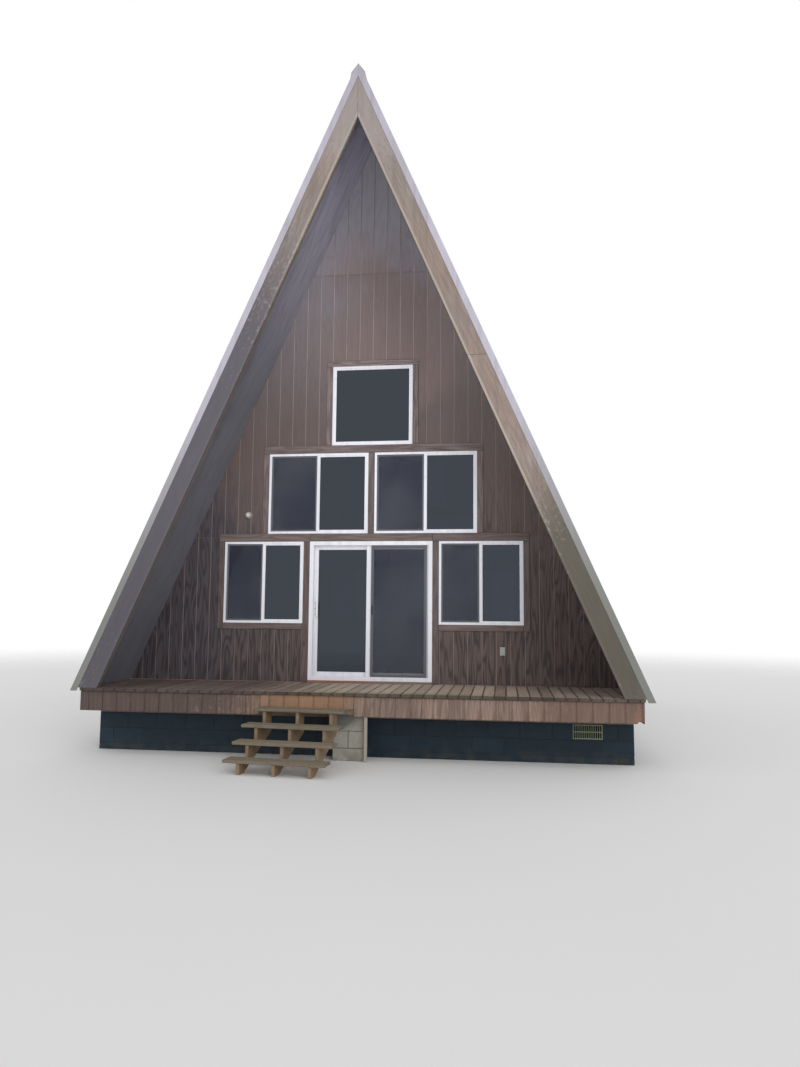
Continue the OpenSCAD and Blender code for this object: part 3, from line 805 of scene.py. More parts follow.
class Stock:
    """Collects boards, plates and heads into one mesh with the attributes that the finishes read."""

    def __init__(self, seed: int) -> None:
        """Starts empty, with its own draw of chance.

        Args:
            seed: Seed of that draw.
        """
        self.draw = random.Random(seed)
        self.verts: list[Vector] = []
        self.faces: list[tuple[int, ...]] = []
        self.mid: list[Vector] = []
        self.half: list[Vector] = []
        self.tone: list[float] = []

    def ring(self, points: list[Vector], mids: list[Vector], half: Vector, tone: float) -> list[int]:
        """Adds the points of one ring.

        Args:
            points: Places.
            mids: Places from the board's middle.
            half: Half sizes of the board.
            tone: The board's own number.

        Returns:
            The indices of the points.
        """
        first = len(self.verts)
        self.verts += points
        self.mid += mids
        self.half += [half] * len(points)
        self.tone += [tone] * len(points)
        return list(range(first, len(self.verts)))

    def loft(self, rings: list[list[int]]) -> None:
        """Joins rings with faces, and closes both ends.

        Args:
            rings: Indices of the points of each ring, all of one length.
        """
        for low, high in zip(rings, rings[1:]):
            for i, j in zip(range(len(low)), [*range(1, len(low)), 0]):
                self.faces.append((low[i], low[j], high[j], high[i]))
        self.faces += [tuple(reversed(rings[0])), tuple(rings[-1])]

    def board(self, centre: Vector, u: Vector, v: Vector, size: Place, bevel: float = 0.003,
              crook: float = 0.0, parts: int = 1, tone: float | None = None) -> None:
        """Adds a board with eased edges.

        Args:
            centre: Its middle.
            u: Direction along it.
            v: Direction across its width.
            size: Length, width and thickness.
            bevel: Size of the eased edges.
            crook: How far it wanders from straight.
            parts: Number of lengths it is bent in.
            tone: Its own number of 0 to 1, or None for chance.
        """
        tone = self.draw.random() if tone is None else tone
        u, v = u.normalized(), v.normalized()
        w = u.cross(v)
        long, wide, thick = (s / 2 for s in size)
        half = Vector((long, wide, thick))
        bevel = min(bevel, 0.45 * min(size))
        sway, lift = (self.draw.uniform(0, math.tau) for _ in range(2))
        steps = [(-long, bevel), (-long + bevel, 0.0)]
        steps += [(-long + 2 * long * k / parts, 0.0) for k in range(1, parts)]
        steps += [(long - bevel, 0.0), (long, bevel)]
        rings = []
        for s, shrink in steps:
            a, b = wide - shrink, thick - shrink
            aside = crook * math.sin(sway + 2.2 * s)
            above = 0.5 * crook * math.sin(lift + 3.1 * s)
            section = [(a, -b + bevel), (a, b - bevel), (a - bevel, b), (-a + bevel, b),
                       (-a, b - bevel), (-a, -b + bevel), (-a + bevel, -b), (a - bevel, -b)]
            points = [centre + u * s + v * (p + aside) + w * (q + above) for p, q in section]
            rings.append(self.ring(points, [Vector((s, p, q)) for p, q in section], half, tone))
        self.loft(rings)

    def plate(self, plane: Plane, outline: Outline, back: float, front: float, bevel: float = 0.0015,
              fibres: Span = (0.0, 1.0), middle: Span | None = None, tone: float | None = None,
              half: Vector | None = None) -> None:
        """Adds a flat plate of any outline, with its front edges eased.

        Args:
            plane: Plane it lies in.
            outline: Its corners, anticlockwise as seen from the front.
            back: Distance of its back from the plane.
            front: Distance of its front from the plane.
            bevel: Size of the eased edges.
            fibres: Direction of its fibres in the plane.
            middle: Point its own coordinates start from, or None for its middle.
            tone: Its own number of 0 to 1, or None for chance.
            half: Half sizes that its rim is reckoned from, or None for its own.
        """
        tone = self.draw.random() if tone is None else tone
        outline = tidy(outline)
        if len(outline) < 3:
            return
        d = Vector(fibres).normalized()
        e = Vector((-d.y, d.x))
        spans = [[axis.dot(Vector(p)) for p in outline] for axis in (d, e)]
        if middle is None:
            zero = [(min(span) + max(span)) / 2 for span in spans]
        else:
            zero = [axis.dot(Vector(middle)) for axis in (d, e)]
        if half is None:
            half = Vector((*((max(span) - min(span)) / 2 for span in spans), (front - back) / 2))
        rings = []
        for points, out in ((outline, back), (outline, front - bevel), (inset(outline, bevel), front)):
            mids = [Vector((d.dot(Vector(p)) - zero[0], e.dot(Vector(p)) - zero[1], out)) for p in points]
            rings.append(self.ring([plane.at(*p, out) for p in points], mids, half, tone))
        self.loft(rings)

    def border(self, plane: Plane, box: Box, face: float, back: float, front: float) -> None:
        """Adds a rectangular frame of four lengths.

        Args:
            plane: Plane it lies in.
            box: Left, foot, right and top of its outside.
            face: Width of its face.
            back: Distance of its back from the plane.
            front: Distance of its front from the plane.
        """
        x0, z0, x1, z1 = box
        for part in ((x0, z0, x1, z0 + face), (x0, z1 - face, x1, z1),
                     (x0, z0 + face, x0 + face, z1 - face), (x1 - face, z0 + face, x1, z1 - face)):
            self.plate(plane, rectangle(*part), back, front, min(0.0012, face / 4))

    def head(self, centre: Vector, normal: Vector, radius: float, rise: float, sides: int = 8) -> None:
        """Adds the head of a nail or screw.

        Args:
            centre: Middle of its foot.
            normal: Direction it faces.
            radius: Radius at its foot.
            rise: Height of its crown.
            sides: Number of its sides.
        """
        p = normal.orthogonal().normalized()
        q = normal.cross(p)
        turn = self.draw.uniform(0, math.tau)
        angles = [turn + math.tau * k / sides for k in range(sides)]
        rings = []
        for share, up in ((1.0, -0.001), (1.0, rise * 0.45), (0.62, rise)):
            points = [centre + (p * math.cos(a) + q * math.sin(a)) * radius * share + normal * up
                      for a in angles]
            rings.append(self.ring(points, [Vector((0, 0, up))] * sides, Vector((1, 1, 1)), 0.5))
        self.loft(rings)

    def piece(self, name: str, finish: Finish, slot: str, body: Body = Body.CABIN,
              replaces: tuple[str, ...] = ()) -> None:
        """Makes the object.

        Args:
            name: Its name.
            finish: Its finish.
            slot: The record's material slot; not used.
            body: Body it moves with.
            replaces: CAD nodes it stands for.
        """
        mesh = bpy.data.meshes.new(name)
        mesh.from_pydata(self.verts, [], self.faces)
        work = bmesh.new()
        work.from_mesh(mesh)
        bmesh.ops.recalc_face_normals(work, faces=work.faces)
        work.to_mesh(mesh)
        work.free()
        for label, places in (("mid", self.mid), ("half", self.half)):
            layer = mesh.attributes.new(label, "FLOAT_VECTOR", "POINT")
            layer.data.foreach_set("vector", [c for p in places for c in p])
        mesh.attributes.new("tone", "FLOAT", "POINT").data.foreach_set("value", self.tone)
        mesh.polygons.foreach_set("use_smooth", [False] * len(mesh.polygons))
        mesh.materials.append(finish.material())
        made = bpy.data.objects.new(name, mesh)
        bpy.context.scene.collection.objects.link(made)
        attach(made, body.value)
        if replaces:
            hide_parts(*replaces)
        mesh.calc_loop_triangles()
        LOG.info("%s: %d triangles", name, len(mesh.loop_triangles))


def carry(finish: Finish, slot: str, *nodes: str) -> None:
    """Dresses CAD nodes that stay in view.

    Args:
        finish: Their finish.
        slot: The record's material slot; not used.
        nodes: Their names.
    """
    for name in nodes:
        node = frame["nodes"][name]
        node.data.materials.clear()
        node.data.materials.append(finish.material())
        LOG.info("%s: kept from the CAD, %s", name, finish.name)


# Finishes of this cabin

# The siding turns paler towards the peak: painted light for the shade under the overhang. Its second band,
# dim and bluish at the lower left, is painted shade from trees.
SIDING = Wood(
    "siding_stain", (0.138, 0.10, 0.093), 0.62, fibre=(0.058, 0.045, 0.046), figure=(0.020, 0.017, 0.021),
    faded=(0.15, 0.125, 0.125), rim=(0.05, 0.036, 0.034), fibre_share=0.45, figure_share=0.7,
    faded_share=0.3, rim_share=0.25, rim_width=0.02, knots=0.06, spread=0.16, depth=0.0012, figure_size=1.9,
    high=(4.0, 8.8, (0.345, 0.33, 0.37)), calm=(2.2, 4.2, 0.12),
    bands=(Patch((0.3, 1.1, 6.2), (1.3, 30.0, 1.6), (0.25, 0.182, 0.175), 0.75),
           Patch((-3.0, 1.1, 2.0), (2.1, 30.0, 2.6), (0.075, 0.072, 0.09), 0.75)))
# Wall seen in the siding's grooves. It is paler than the siding: partly the bare wood of the grooves, partly
# painted light that offsets the shade inside them. It also turns paler with height as painted light for the
# shaded gable; the patch at the peak tones it back to slate.
GROOVE = Wood(
    "groove_stain", (0.30, 0.215, 0.20), 0.75, fibre=(0.2, 0.15, 0.14), figure=(0.2, 0.15, 0.14),
    faded=(0.28, 0.22, 0.21), fibre_share=0.3, figure_share=0.2, faded_share=0.3,
    high=(3.8, 7.0, (0.52, 0.42, 0.41)), runs=Fibres.UPRIGHT,
    patches=(Patch((0.0, 1.1, 9.3), (2.6, 30.0, 2.4), (0.245, 0.222, 0.236), 1.0),))
# The casing turns paler with height: painted light for the shaded gable under the overhang.
CASING = Wood(
    "casing_stain", (0.18, 0.138, 0.13), fibre=(0.045, 0.032, 0.03), figure=(0.075, 0.053, 0.048),
    faded=(0.19, 0.16, 0.155), rim=(0.045, 0.032, 0.03), figure_share=0.4, faded_share=0.35, rim_share=0.45,
    rim_width=0.008, knots=0.35, spread=0.3, figure_size=1.6, high=(2.6, 5.4, (0.30, 0.24, 0.235)))
DECKING = Wood(
    "decking", (0.48, 0.365, 0.285), 0.72, fibre=(0.16, 0.12, 0.10), figure=(0.27, 0.20, 0.16),
    faded=(0.47, 0.41, 0.35), rim=(0.05, 0.038, 0.034), fibre_share=0.45, figure_share=0.3,
    faded_share=0.5, rim_share=0.8, knots=0.35, spread=0.4, figure_size=1.5, depth=0.002,
    patches=(Patch((0.5, -3.2, 0.86), (1.6, 1.2, 0.6), (0.66, 0.54, 0.43), 0.6),
             Patch((0.0, -4.075, 0.84), (15.0, 0.05, 0.3), (0.07, 0.052, 0.04), 0.9),
             Patch((0.6, -4.02, 0.86), (1.4, 0.2, 0.4), (0.24, 0.22, 0.13), 0.5),
             # Dark patch over the left of the porch: painted shade from trees.
             Patch((-2.5, -3.4, 0.86), (1.9, 1.6, 0.6), (0.155, 0.11, 0.10), 0.85),
             Patch((3.3, -3.4, 0.86), (0.7, 1.2, 0.6), (0.33, 0.27, 0.25), 0.5)))
FLOORING = Wood(
    "flooring", (0.34, 0.22, 0.12), 0.5, fibre=(0.2, 0.12, 0.06), figure=(0.26, 0.16, 0.08),
    faded=(0.36, 0.25, 0.15), rim=(0.12, 0.08, 0.05), fibre_share=0.35, figure_share=0.4, faded_share=0.3,
    rim_share=0.4, spread=0.3)
SKIRTING = Wood(
    "skirting", (0.325, 0.228, 0.18), 0.66, fibre=(0.12, 0.075, 0.058), figure=(0.12, 0.078, 0.062),
    faded=(0.29, 0.225, 0.19), rim=(0.06, 0.038, 0.03), fibre_share=0.4, figure_share=0.45,
    faded_share=0.5, rim_width=0.010, knots=0.15, spread=0.25, figure_size=2.4, streak=(0.12, 0.082, 0.067),
    # Dark line along the top, under the deck's lip: painted shadow.
    patches=(Patch((0.0, -4.02, 0.824), (20.0, 0.1, 0.022), (0.08, 0.058, 0.048)),
             Patch((3.565, -4.02, 0.625), (0.095, 0.1, 0.10), (0.46, 0.215, 0.14), 0.9),
             Patch((3.1, -4.02, 0.7), (0.85, 0.2, 0.5), (0.15, 0.095, 0.072), 0.75),
             # Dark patch at the left: painted shade from trees.
             Patch((-2.9, -4.02, 0.7), (1.7, 0.2, 0.5), (0.085, 0.06, 0.055)),
             Patch((-0.56, -4.02, 0.76), (0.66, 0.2, 0.25), (0.36, 0.205, 0.115), 0.75)))
RAKE = Wood(
    "rake_boards", (0.315, 0.245, 0.21), 0.7, fibre=(0.15, 0.115, 0.10), figure=(0.2, 0.155, 0.135),
    faded=(0.35, 0.33, 0.31), rim=(0.14, 0.12, 0.105), figure_share=0.4, faded_share=0.65, rim_share=0.2,
    rim_width=0.010, knots=0.45, spread=0.12, figure_size=1.7, depth=0.0018,
    # The pale strip along the inner edge is a painted highlight.
    streak=(0.19, 0.155, 0.14), edge_highlight=(0.035, (0.42, 0.37, 0.31)),
    patches=(Patch((0.0, -4.06, 8.9), (1.0, 0.3, 1.2), (0.38, 0.335, 0.33), 0.5),
             Patch((3.1, -4.06, 1.9), (1.1, 0.3, 2.1), (0.098, 0.092, 0.07), 0.85),
             # Dark patch over the left rake: painted shade from trees.
             Patch((-2.4, -4.06, 3.2), (2.6, 0.3, 4.8), (0.088, 0.085, 0.108), 0.9)))
RAFTER = Wood(
    "rafter_boards", (0.24, 0.185, 0.14), 0.72, fibre=(0.12, 0.085, 0.06), figure=(0.16, 0.12, 0.09),
    faded=(0.22, 0.19, 0.16), rim_share=0.2)
# The soffit turns paler towards the peak: painted light for the shade under the overhang.
SOFFIT = Wood(
    "soffit_stain", (0.22, 0.225, 0.26), 0.7, fibre=(0.11, 0.105, 0.12), figure=(0.12, 0.11, 0.125),
    faded=(0.17, 0.165, 0.19), fibre_share=0.25, figure_share=0.2, knots=0.05, runs=Fibres.ON_SLOPE,
    high=(4.6, 8.8, (0.60, 0.575, 0.70)))
ROOF_CORE = Wood(
    "roof_core", (0.26, 0.2, 0.14), 0.75, fibre=(0.14, 0.1, 0.07), figure=(0.2, 0.15, 0.1),
    runs=Fibres.ALONG_ROOF)
FRAMING = Wood(
    "framing", (0.24, 0.18, 0.125), 0.78, fibre=(0.11, 0.08, 0.055), figure=(0.15, 0.11, 0.08),
    faded=(0.16, 0.14, 0.12), faded_share=0.5, runs=Fibres.LENGTHWISE)
POST = Wood(
    "post_wood", (0.38, 0.35, 0.30), 0.75, fibre=(0.2, 0.18, 0.15), figure=(0.28, 0.25, 0.21),
    faded=(0.42, 0.4, 0.36), runs=Fibres.UPRIGHT)
STRINGER = Wood(
    "stringers", (0.30, 0.215, 0.14), 0.7, fibre=(0.17, 0.1, 0.055), figure=(0.24, 0.15, 0.08),
    faded=(0.26, 0.22, 0.17), fibre_share=0.45, figure_share=0.4, faded_share=0.5, runs=Fibres.ON_STAIR)
TREAD = Wood(
    "treads", (0.30, 0.245, 0.17), 0.74, fibre=(0.12, 0.095, 0.07), figure=(0.19, 0.15, 0.11),
    faded=(0.29, 0.27, 0.22), rim=(0.1, 0.085, 0.065), figure_share=0.4, faded_share=0.5, rim_share=0.35,
    knots=0.4, spread=0.2, figure_size=1.4, depth=0.0025)
SILL = Wood(
    "door_sill", (0.30, 0.15, 0.11), 0.66, fibre=(0.12, 0.06, 0.045), figure=(0.2, 0.1, 0.07),
    faded=(0.33, 0.22, 0.17), figure_share=0.3, faded_share=0.6, runs=Fibres.CROSSWISE,
    patches=(Patch((0.6, -2.6, 0.87), (0.6, 0.2, 0.1), (0.2, 0.17, 0.14)),))
ROOFING = Coated(
    "roofing_coat", (0.42, 0.415, 0.465), 0.42, dirt=(0.24, 0.235, 0.25), streaks=0.3,
    foot=(1.0, 5.5, (0.30, 0.30, 0.30)))
TRIM = Coated(
    "trim_coat", (0.45, 0.43, 0.505), 0.4, dirt=(0.24, 0.235, 0.25), dents=0.001,
    foot=(1.5, 5.5, (0.215, 0.225, 0.20)))
VENT = Coated("vent_paint", (0.19, 0.23, 0.15), 0.55, dirt=(0.10, 0.11, 0.07), dents=0.0004)
SCREEN_FRAME = Coated(
    "screen_coat", (0.10, 0.105, 0.125), 0.45, dirt=(0.16, 0.16, 0.16), streaks=0.2, dents=0.0002)
SCREW = Coated("screw_coat", (0.32, 0.32, 0.35), 0.4, dirt=(0.16, 0.12, 0.09), streaks=0.4, dents=0.0002)
NAIL = Coated("nail_steel", (0.07, 0.055, 0.05), 0.55, dirt=(0.12, 0.06, 0.03), streaks=0.5, dents=0.0002)
WHITE = Moulded("window_section", (0.84, 0.85, 0.92), 0.32, dirt=(0.42, 0.4, 0.36), dust=0.22)
GASKET = Moulded("gasket", (0.028, 0.028, 0.03), 0.55, dirt=(0.09, 0.085, 0.08), dust=0.3)
HANDLE = Moulded("handle_black", (0.022, 0.022, 0.024), 0.3, dirt=(0.08, 0.075, 0.07), dust=0.3)
COVER = Moulded("outlet_plastic", (0.46, 0.46, 0.44), 0.4, dirt=(0.2, 0.19, 0.17), dust=0.35)
LAMP = Moulded(
    "lamp_glass", (0.62, 0.61, 0.56), 0.12, dirt=(0.3, 0.28, 0.22), dust=0.35,
    rear=(WALL_FRONT - 0.04, WALL_FRONT - 0.034, (0.25, 0.24, 0.21)))
GLASS = Pane("window_glass", (0.045, 0.055, 0.07), 0.0)
MESH = Mesh("insect_mesh", (0.05, 0.056, 0.085))
DARK_BLOCK = Block(
    "painted_block", (0.005, 0.018, 0.031), worn=(0.013, 0.029, 0.042), worn_share=0.35,
    soil=(0.05, 0.05, 0.045))
MORTAR = Block(
    "painted_mortar", (0.024, 0.038, 0.05), 0.8, worn=(0.045, 0.055, 0.06), worn_share=0.3,
    soil=(0.05, 0.05, 0.045))
PALE_BLOCK = Block(
    "bare_block", (0.37, 0.355, 0.31), 0.85, worn=(0.26, 0.26, 0.22), worn_share=0.4,
    # Dark patch on the top block: painted shade under the deck.
    patches=(Patch((-0.14, -3.92, 0.52), (0.22, 0.3, 0.13), (0.13, 0.135, 0.12), 0.85),))


# Sub-assemblies


@dataclass
class Foundation:
    """Painted block walls, the vent, the pier of blocks, its post and the timbers on top."""

    course: float = 0.203
    block: float = 0.406
    joint: float = 0.010
    proud: float = 0.004
    shortest: float = 0.03
    vent_gap: float = 0.004
    uneven: float = 0.0015
    bevel: float = 0.003
    pier_joints: tuple[float, ...] = (0.0, 0.157, 0.371)
    pair_gap: float = 0.003
    pier_shift: float = 0.004

    def wall(self, stock: Stock, plane: Plane, ends: Span, top: float, hole: Outline | None = None) -> None:
        """Lays the block faces of one wall.

        Args:
            stock: Where they go.
            plane: The wall's face, with its origin on the ground.
            ends: Left and right end.
            top: Height of the wall.
            hole: Corners of an opening, or None.
        """
        start, end = ends
        rows = [top]
        while rows[-1] > 0:
            rows.append(rows[-1] - self.course)
        for k, (high, low) in enumerate(zip(rows, rows[1:])):
            foot, head = max(low, 0.0) + self.joint / 2, high - self.joint / 2
            x = start - (0.5 * self.block if k % 2 else 0.0)
            while x < end - self.shortest:
                a, b = max(x, start) + self.joint / 2, min(x + self.block, end) - self.joint / 2
                x += self.block
                if b - a < self.shortest:
                    continue
                out = self.proud + stock.draw.uniform(-self.uneven, 0.0)
                faces = [(a, b)]
                if hole and a < hole[2][0] and b > hole[0][0] and head > hole[0][1]:
                    faces = [(a, hole[0][0] - self.vent_gap), (hole[2][0] + self.vent_gap, b)]
                for left, right in faces:
                    if right - left > self.shortest:
                        stock.plate(plane, rectangle(left, foot, right, head), 0.0, out, self.bevel)

    def pier(self) -> None:
        """Stacks the pier: one block, a pair, and one sunk in the ground."""
        low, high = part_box("pier")
        mid_x, mid_y = (low.x + high.x) / 2, (low.y + high.y) / 2
        joints = [*self.pier_joints, high.z]
        stock = Stock(12)
        for k, (z0, z1) in enumerate(zip(joints, joints[1:])):
            shift = stock.draw.uniform(0.0, self.pier_shift)
            paired, topmost = k == 1, k == 2
            for a, b in ([(low.x, mid_x), (mid_x, high.x)] if paired else [(low.x, high.x)]):
                centre = Vector(((a + b) / 2, mid_y + shift / 2, (z0 + z1) / 2))
                wide = b - a - (2 * self.pair_gap if paired else 0.0)
                size = (wide, high.y - low.y - shift, z1 - z0 - (0.0 if topmost else self.joint / 2))
                tone = 0.25 + 0.5 * stock.draw.random()
                stock.board(centre, RIGHT, FORWARD, size, 2 * self.bevel, tone=tone)
        stock.piece("pier_blocks", PALE_BLOCK, "block_grey", replaces=("pier",))

    def build(self) -> None:
        """Builds and dresses the foundation."""
        stock = Stock(11)
        front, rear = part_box("foundation_front")[0].y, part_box("foundation_rear")[1].y
        half, _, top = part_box("foundation_front")[1]
        low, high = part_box("foundation_vent")
        hole = rectangle(low.x, low.z, high.x, high.z)
        self.wall(stock, Plane(Vector((0, front, 0)), -FORWARD), (-half, half), top, hole)
        self.wall(stock, Plane(Vector((0, rear, 0)), FORWARD), (-half, half), top)
        self.wall(stock, Plane(Vector((half, 0, 0)), RIGHT), (front, rear), top)
        self.wall(stock, Plane(Vector((-half, 0, 0)), -RIGHT), (-rear, -front), top)
        stock.piece("foundation_blocks", DARK_BLOCK, "block_dark")
        carry(MORTAR, "block_dark", "foundation_front", "foundation_rear", "foundation_sides")
        carry(VENT, "vent_cream", "foundation_vent")
        carry(FRAMING, "frame_wood", "sill_timbers", "floor_frame")
        carry(POST, "post_wood", "pier_post")
        self.pier()


@dataclass
class Decking:
    """Boards of the porch and of the room's floor, with their nails."""

    pitch: float = 0.1457
    gap: float = 0.006
    seam: float = 1.233
    narrowest: float = 0.03
    stagger: float = 0.3
    end_gap: float = 0.002
    uneven: float = 0.0016
    crook: float = 0.0009
    bends: int = 4
    ragged: float = 0.006
    edge_thick: float = 0.0175
    edge_out: float = 0.0097
    edge_short: float = 0.07
    edge_back: float = 0.03
    nail_rows: tuple[float, ...] = (0.065, 0.48, 0.89, 1.30)
    nail_side: float = 0.045
    nail_sway: float = 0.006
    nail_sunk: float = 0.0012

    def lay(self, stock: Stock, y0: float, y1: float, ragged: float = 0.0, splits: int = 1) -> list[float]:
        """Lays boards front to back.

        Args:
            stock: Where they go.
            y0: Front end.
            y1: Rear end.
            ragged: How far the front ends vary.
            splits: Number of lengths in each row.

        Returns:
            The middle of each row of boards.
        """
        low, high = DECK_LOW.z, DECK
        middles = []
        x = self.seam - math.ceil((self.seam + HALF_W) / self.pitch) * self.pitch
        while x < HALF_W:
            a, b = max(x + self.gap / 2, -HALF_W), min(x + self.pitch - self.gap / 2, HALF_W)
            x += self.pitch
            if b - a < self.narrowest:
                continue
            middles.append((a + b) / 2)
            cuts = [y0 + stock.draw.uniform(0.0, ragged)]
            for k in range(1, splits):
                share = (k + stock.draw.uniform(-self.stagger, self.stagger)) / splits
                cuts.append(y0 + (y1 - y0) * share)
            cuts.append(y1)
            for c, d in zip(cuts, cuts[1:]):
                drop = stock.draw.uniform(0.0, self.uneven)
                centre = Vector(((a + b) / 2, (c + d) / 2, (low + high - drop) / 2))
                size = (d - c - self.end_gap, b - a, high - low - drop)
                stock.board(centre, FORWARD, RIGHT, size, crook=self.crook, parts=self.bends)
        return middles

    def build(self) -> None:
        """Builds and dresses the decking."""
        porch, edges, nails = Stock(21), Stock(24), Stock(22)
        middles = self.lay(porch, DECK_LOW.y, DECK_HIGH.y, self.ragged)
        porch.piece("porch_boards", DECKING, "deck_wood", replaces=("porch_deck",))
        thick = DECK - DECK_LOW.z
        size = (WALL_FRONT - RAKE_FRONT - self.edge_short, self.edge_thick, thick - 0.001)
        y, z = (RAKE_FRONT + WALL_FRONT) / 2 + self.edge_back, DECK_LOW.z + thick / 2 - 0.0005
        for side in (-1, 1):
            middle = Vector((side * (HALF_W + self.edge_out), y, z))
            edges.board(middle, FORWARD, RIGHT, size, 0.002)
        edges.piece("deck_edges", DECKING, "deck_wood")
        for x in middles:
            for y in self.nail_rows:
                for side in (-self.nail_side, self.nail_side):
                    across = x + side + nails.draw.uniform(-self.nail_sway, self.nail_sway)
                    spot = Vector((across, DECK_LOW.y + y, DECK - self.nail_sunk))
                    nails.head(spot, UP, 0.0045, self.nail_sunk, 6)
        nails.piece("porch_nails", NAIL, "deck_wood")
        low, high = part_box("room_floor")
        floor, ledge = Stock(23), Stock(25)
        self.lay(floor, low.y, WALL_REAR, splits=2)
        floor.piece("room_boards", FLOORING, "floor_wood", replaces=("room_floor",))
        self.lay(ledge, WALL_REAR, high.y)
        ledge.piece("rear_boards", DECKING, "deck_wood")


@dataclass
class Skirt:
    """Grooved strip of siding round the edge of the platform."""

    core: float = 0.011
    groove: float = 0.009
    pitch: float = 0.1945
    most: int = 14
    margin: float = 0.1
    edge: float = 0.02
    gap: float = 0.001
    front_marks: tuple[float, ...] = (-3.50, -1.05, 1.059)
    close_marks: tuple[float, ...] = (0.195, 0.389, 0.583, 0.777)
    top: float = 0.822
    low: float = 0.564
    short: float = 0.654
    sheet: float = 2.44
    joints: tuple[float, ...] = (-1.169, 0.051, 0.9195)
    rear_joint: float = 1.2
    shade: float = 0.2
    break_steps: tuple[Span, ...] = (
        (0.092, 0.0), (0.074, 0.022), (0.058, 0.041), (0.05, 0.037), (0.042, 0.036), (0.034, 0.058),
        (0.024, 0.086), (0.012, 0.097), (0.0, 0.113))

    def marks(self, first: float) -> tuple[float, ...]:
        """Places of grooves, a pitch apart from the first."""
        return tuple(first + k * self.pitch for k in range(self.most))

    def strip(self, stock: Stock, plane: Plane, outline: Outline, thick: float,
              marks: tuple[float, ...]) -> None:
        """Builds one length: a core, and proud strips between its grooves.

        Args:
            stock: Where it goes.
            plane: Plane of its back.
            outline: Its corners.
            thick: Its thickness.
            marks: Places of grooves. Those past its ends are left out.
        """
        tone = stock.draw.random()
        stock.plate(plane, outline, 0.0, self.core, 0.0, tone=tone)
        start, end = min(p[0] for p in outline), max(p[0] for p in outline)
        inner = [m for m in marks if start + self.edge < m < end - self.edge]
        edges = [start - self.groove / 2, *inner, end + self.groove / 2]
        for a, b in zip(edges, edges[1:]):
            part = clip(clip(outline, -1, 0, -(a + self.groove / 2)), 1, 0, b - self.groove / 2)
            own = min(1.0, max(0.0, tone + stock.draw.uniform(-self.shade, self.shade)))
            stock.plate(plane, part, self.core, thick, 0.002, tone=own)

    def build(self) -> None:
        """Builds and dresses the skirt."""
        low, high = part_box("skirt_front")
        side_low, side_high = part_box("skirt_sides")
        thick = high.y - low.y
        (first, second, third), (left, middle, right) = self.joints, self.front_marks
        front, sides, gap = Stock(31), Stock(32), self.gap
        plane = Plane(Vector((0, high.y, 0)), -FORWARD)
        for x0, x1, z0, marks in ((-HALF_W, first - gap, self.low, self.marks(left)),
                                  (first + gap, second - gap, self.short, self.marks(middle)),
                                  (second + gap, third - gap, self.low, self.close_marks)):
            self.strip(front, plane, rectangle(x0, z0, x1, self.top), thick, marks)
        broken = [(third + gap, self.low)]
        broken += [(HALF_W - x, self.low + z) for x, z in self.break_steps]
        broken += [(HALF_W, self.top), (third + gap, self.top)]
        self.strip(front, plane, broken, thick, self.marks(right))
        front.piece("skirt_front_strip", SKIRTING, "skirt_wood", replaces=("skirt_front",))
        for side in (-1, 1):
            plane = Plane(Vector((side * (HALF_W - thick), 0, 0)), RIGHT * side)
            start, end = sorted((side * side_low.y, side * (side_high.y - thick - 2 * gap)))
            cuts = [*(start + k * self.sheet for k in range(4)), end]
            for a, b in zip(cuts, cuts[1:]):
                length = rectangle(a + gap, self.low, b - gap, self.top)
                self.strip(sides, plane, length, thick, self.marks(a + self.margin))
        plane = Plane(Vector((0, side_high.y - thick, 0)), FORWARD)
        middle = self.rear_joint
        for a, b in ((-HALF_W, -middle), (2 * gap - middle, middle), (middle + 2 * gap, HALF_W)):
            self.strip(sides, plane, rectangle(a, self.low, b, self.top), thick, self.marks(a + self.margin))
        sides.piece("skirt_side_strips", SKIRTING, "skirt_wood", replaces=("skirt_sides",))


@dataclass(frozen=True)
class Window:
    """One window of a gable: its middle, foot, width, and if it slides."""

    middle: float
    foot: float
    width: float
    slides: bool = True
    height: float = 1.205
    frame: float = 0.034
    sight: float = 0.054
    stile: float = 0.046
    outer_glass: float = -0.003
    inner_glass: float = -0.031

    @property
    def ends(self) -> Span:
        """Left and right end of the outer frame."""
        return self.middle - self.width / 2, self.middle - self.width / 2 + self.width

    @property
    def leaf(self) -> float:
        """Width of one leaf of a sliding window."""
        return (self.width + self.stile) / 2 - self.frame

    def panes(self, turn: float) -> list[tuple[Box, float]]:
        """Sight sizes of the panes.

        Args:
            turn: 1, or -1 where the gable faces the other way.

        Returns:
            The box and the depth of the glass face of each pane.
        """
        (left, right), foot, top = self.ends, self.foot + self.sight, self.foot + self.height - self.sight
        spans = [(left + self.sight, right - self.sight, self.outer_glass)]
        if self.slides:
            bar = self.frame + self.leaf - self.stile
            spans = [(right - bar, right - self.sight, self.outer_glass),
                     (left + self.sight, left + bar, self.inner_glass)]
        return [((min(turn * a, turn * b), foot, max(turn * a, turn * b), top), out) for a, b, out in spans]


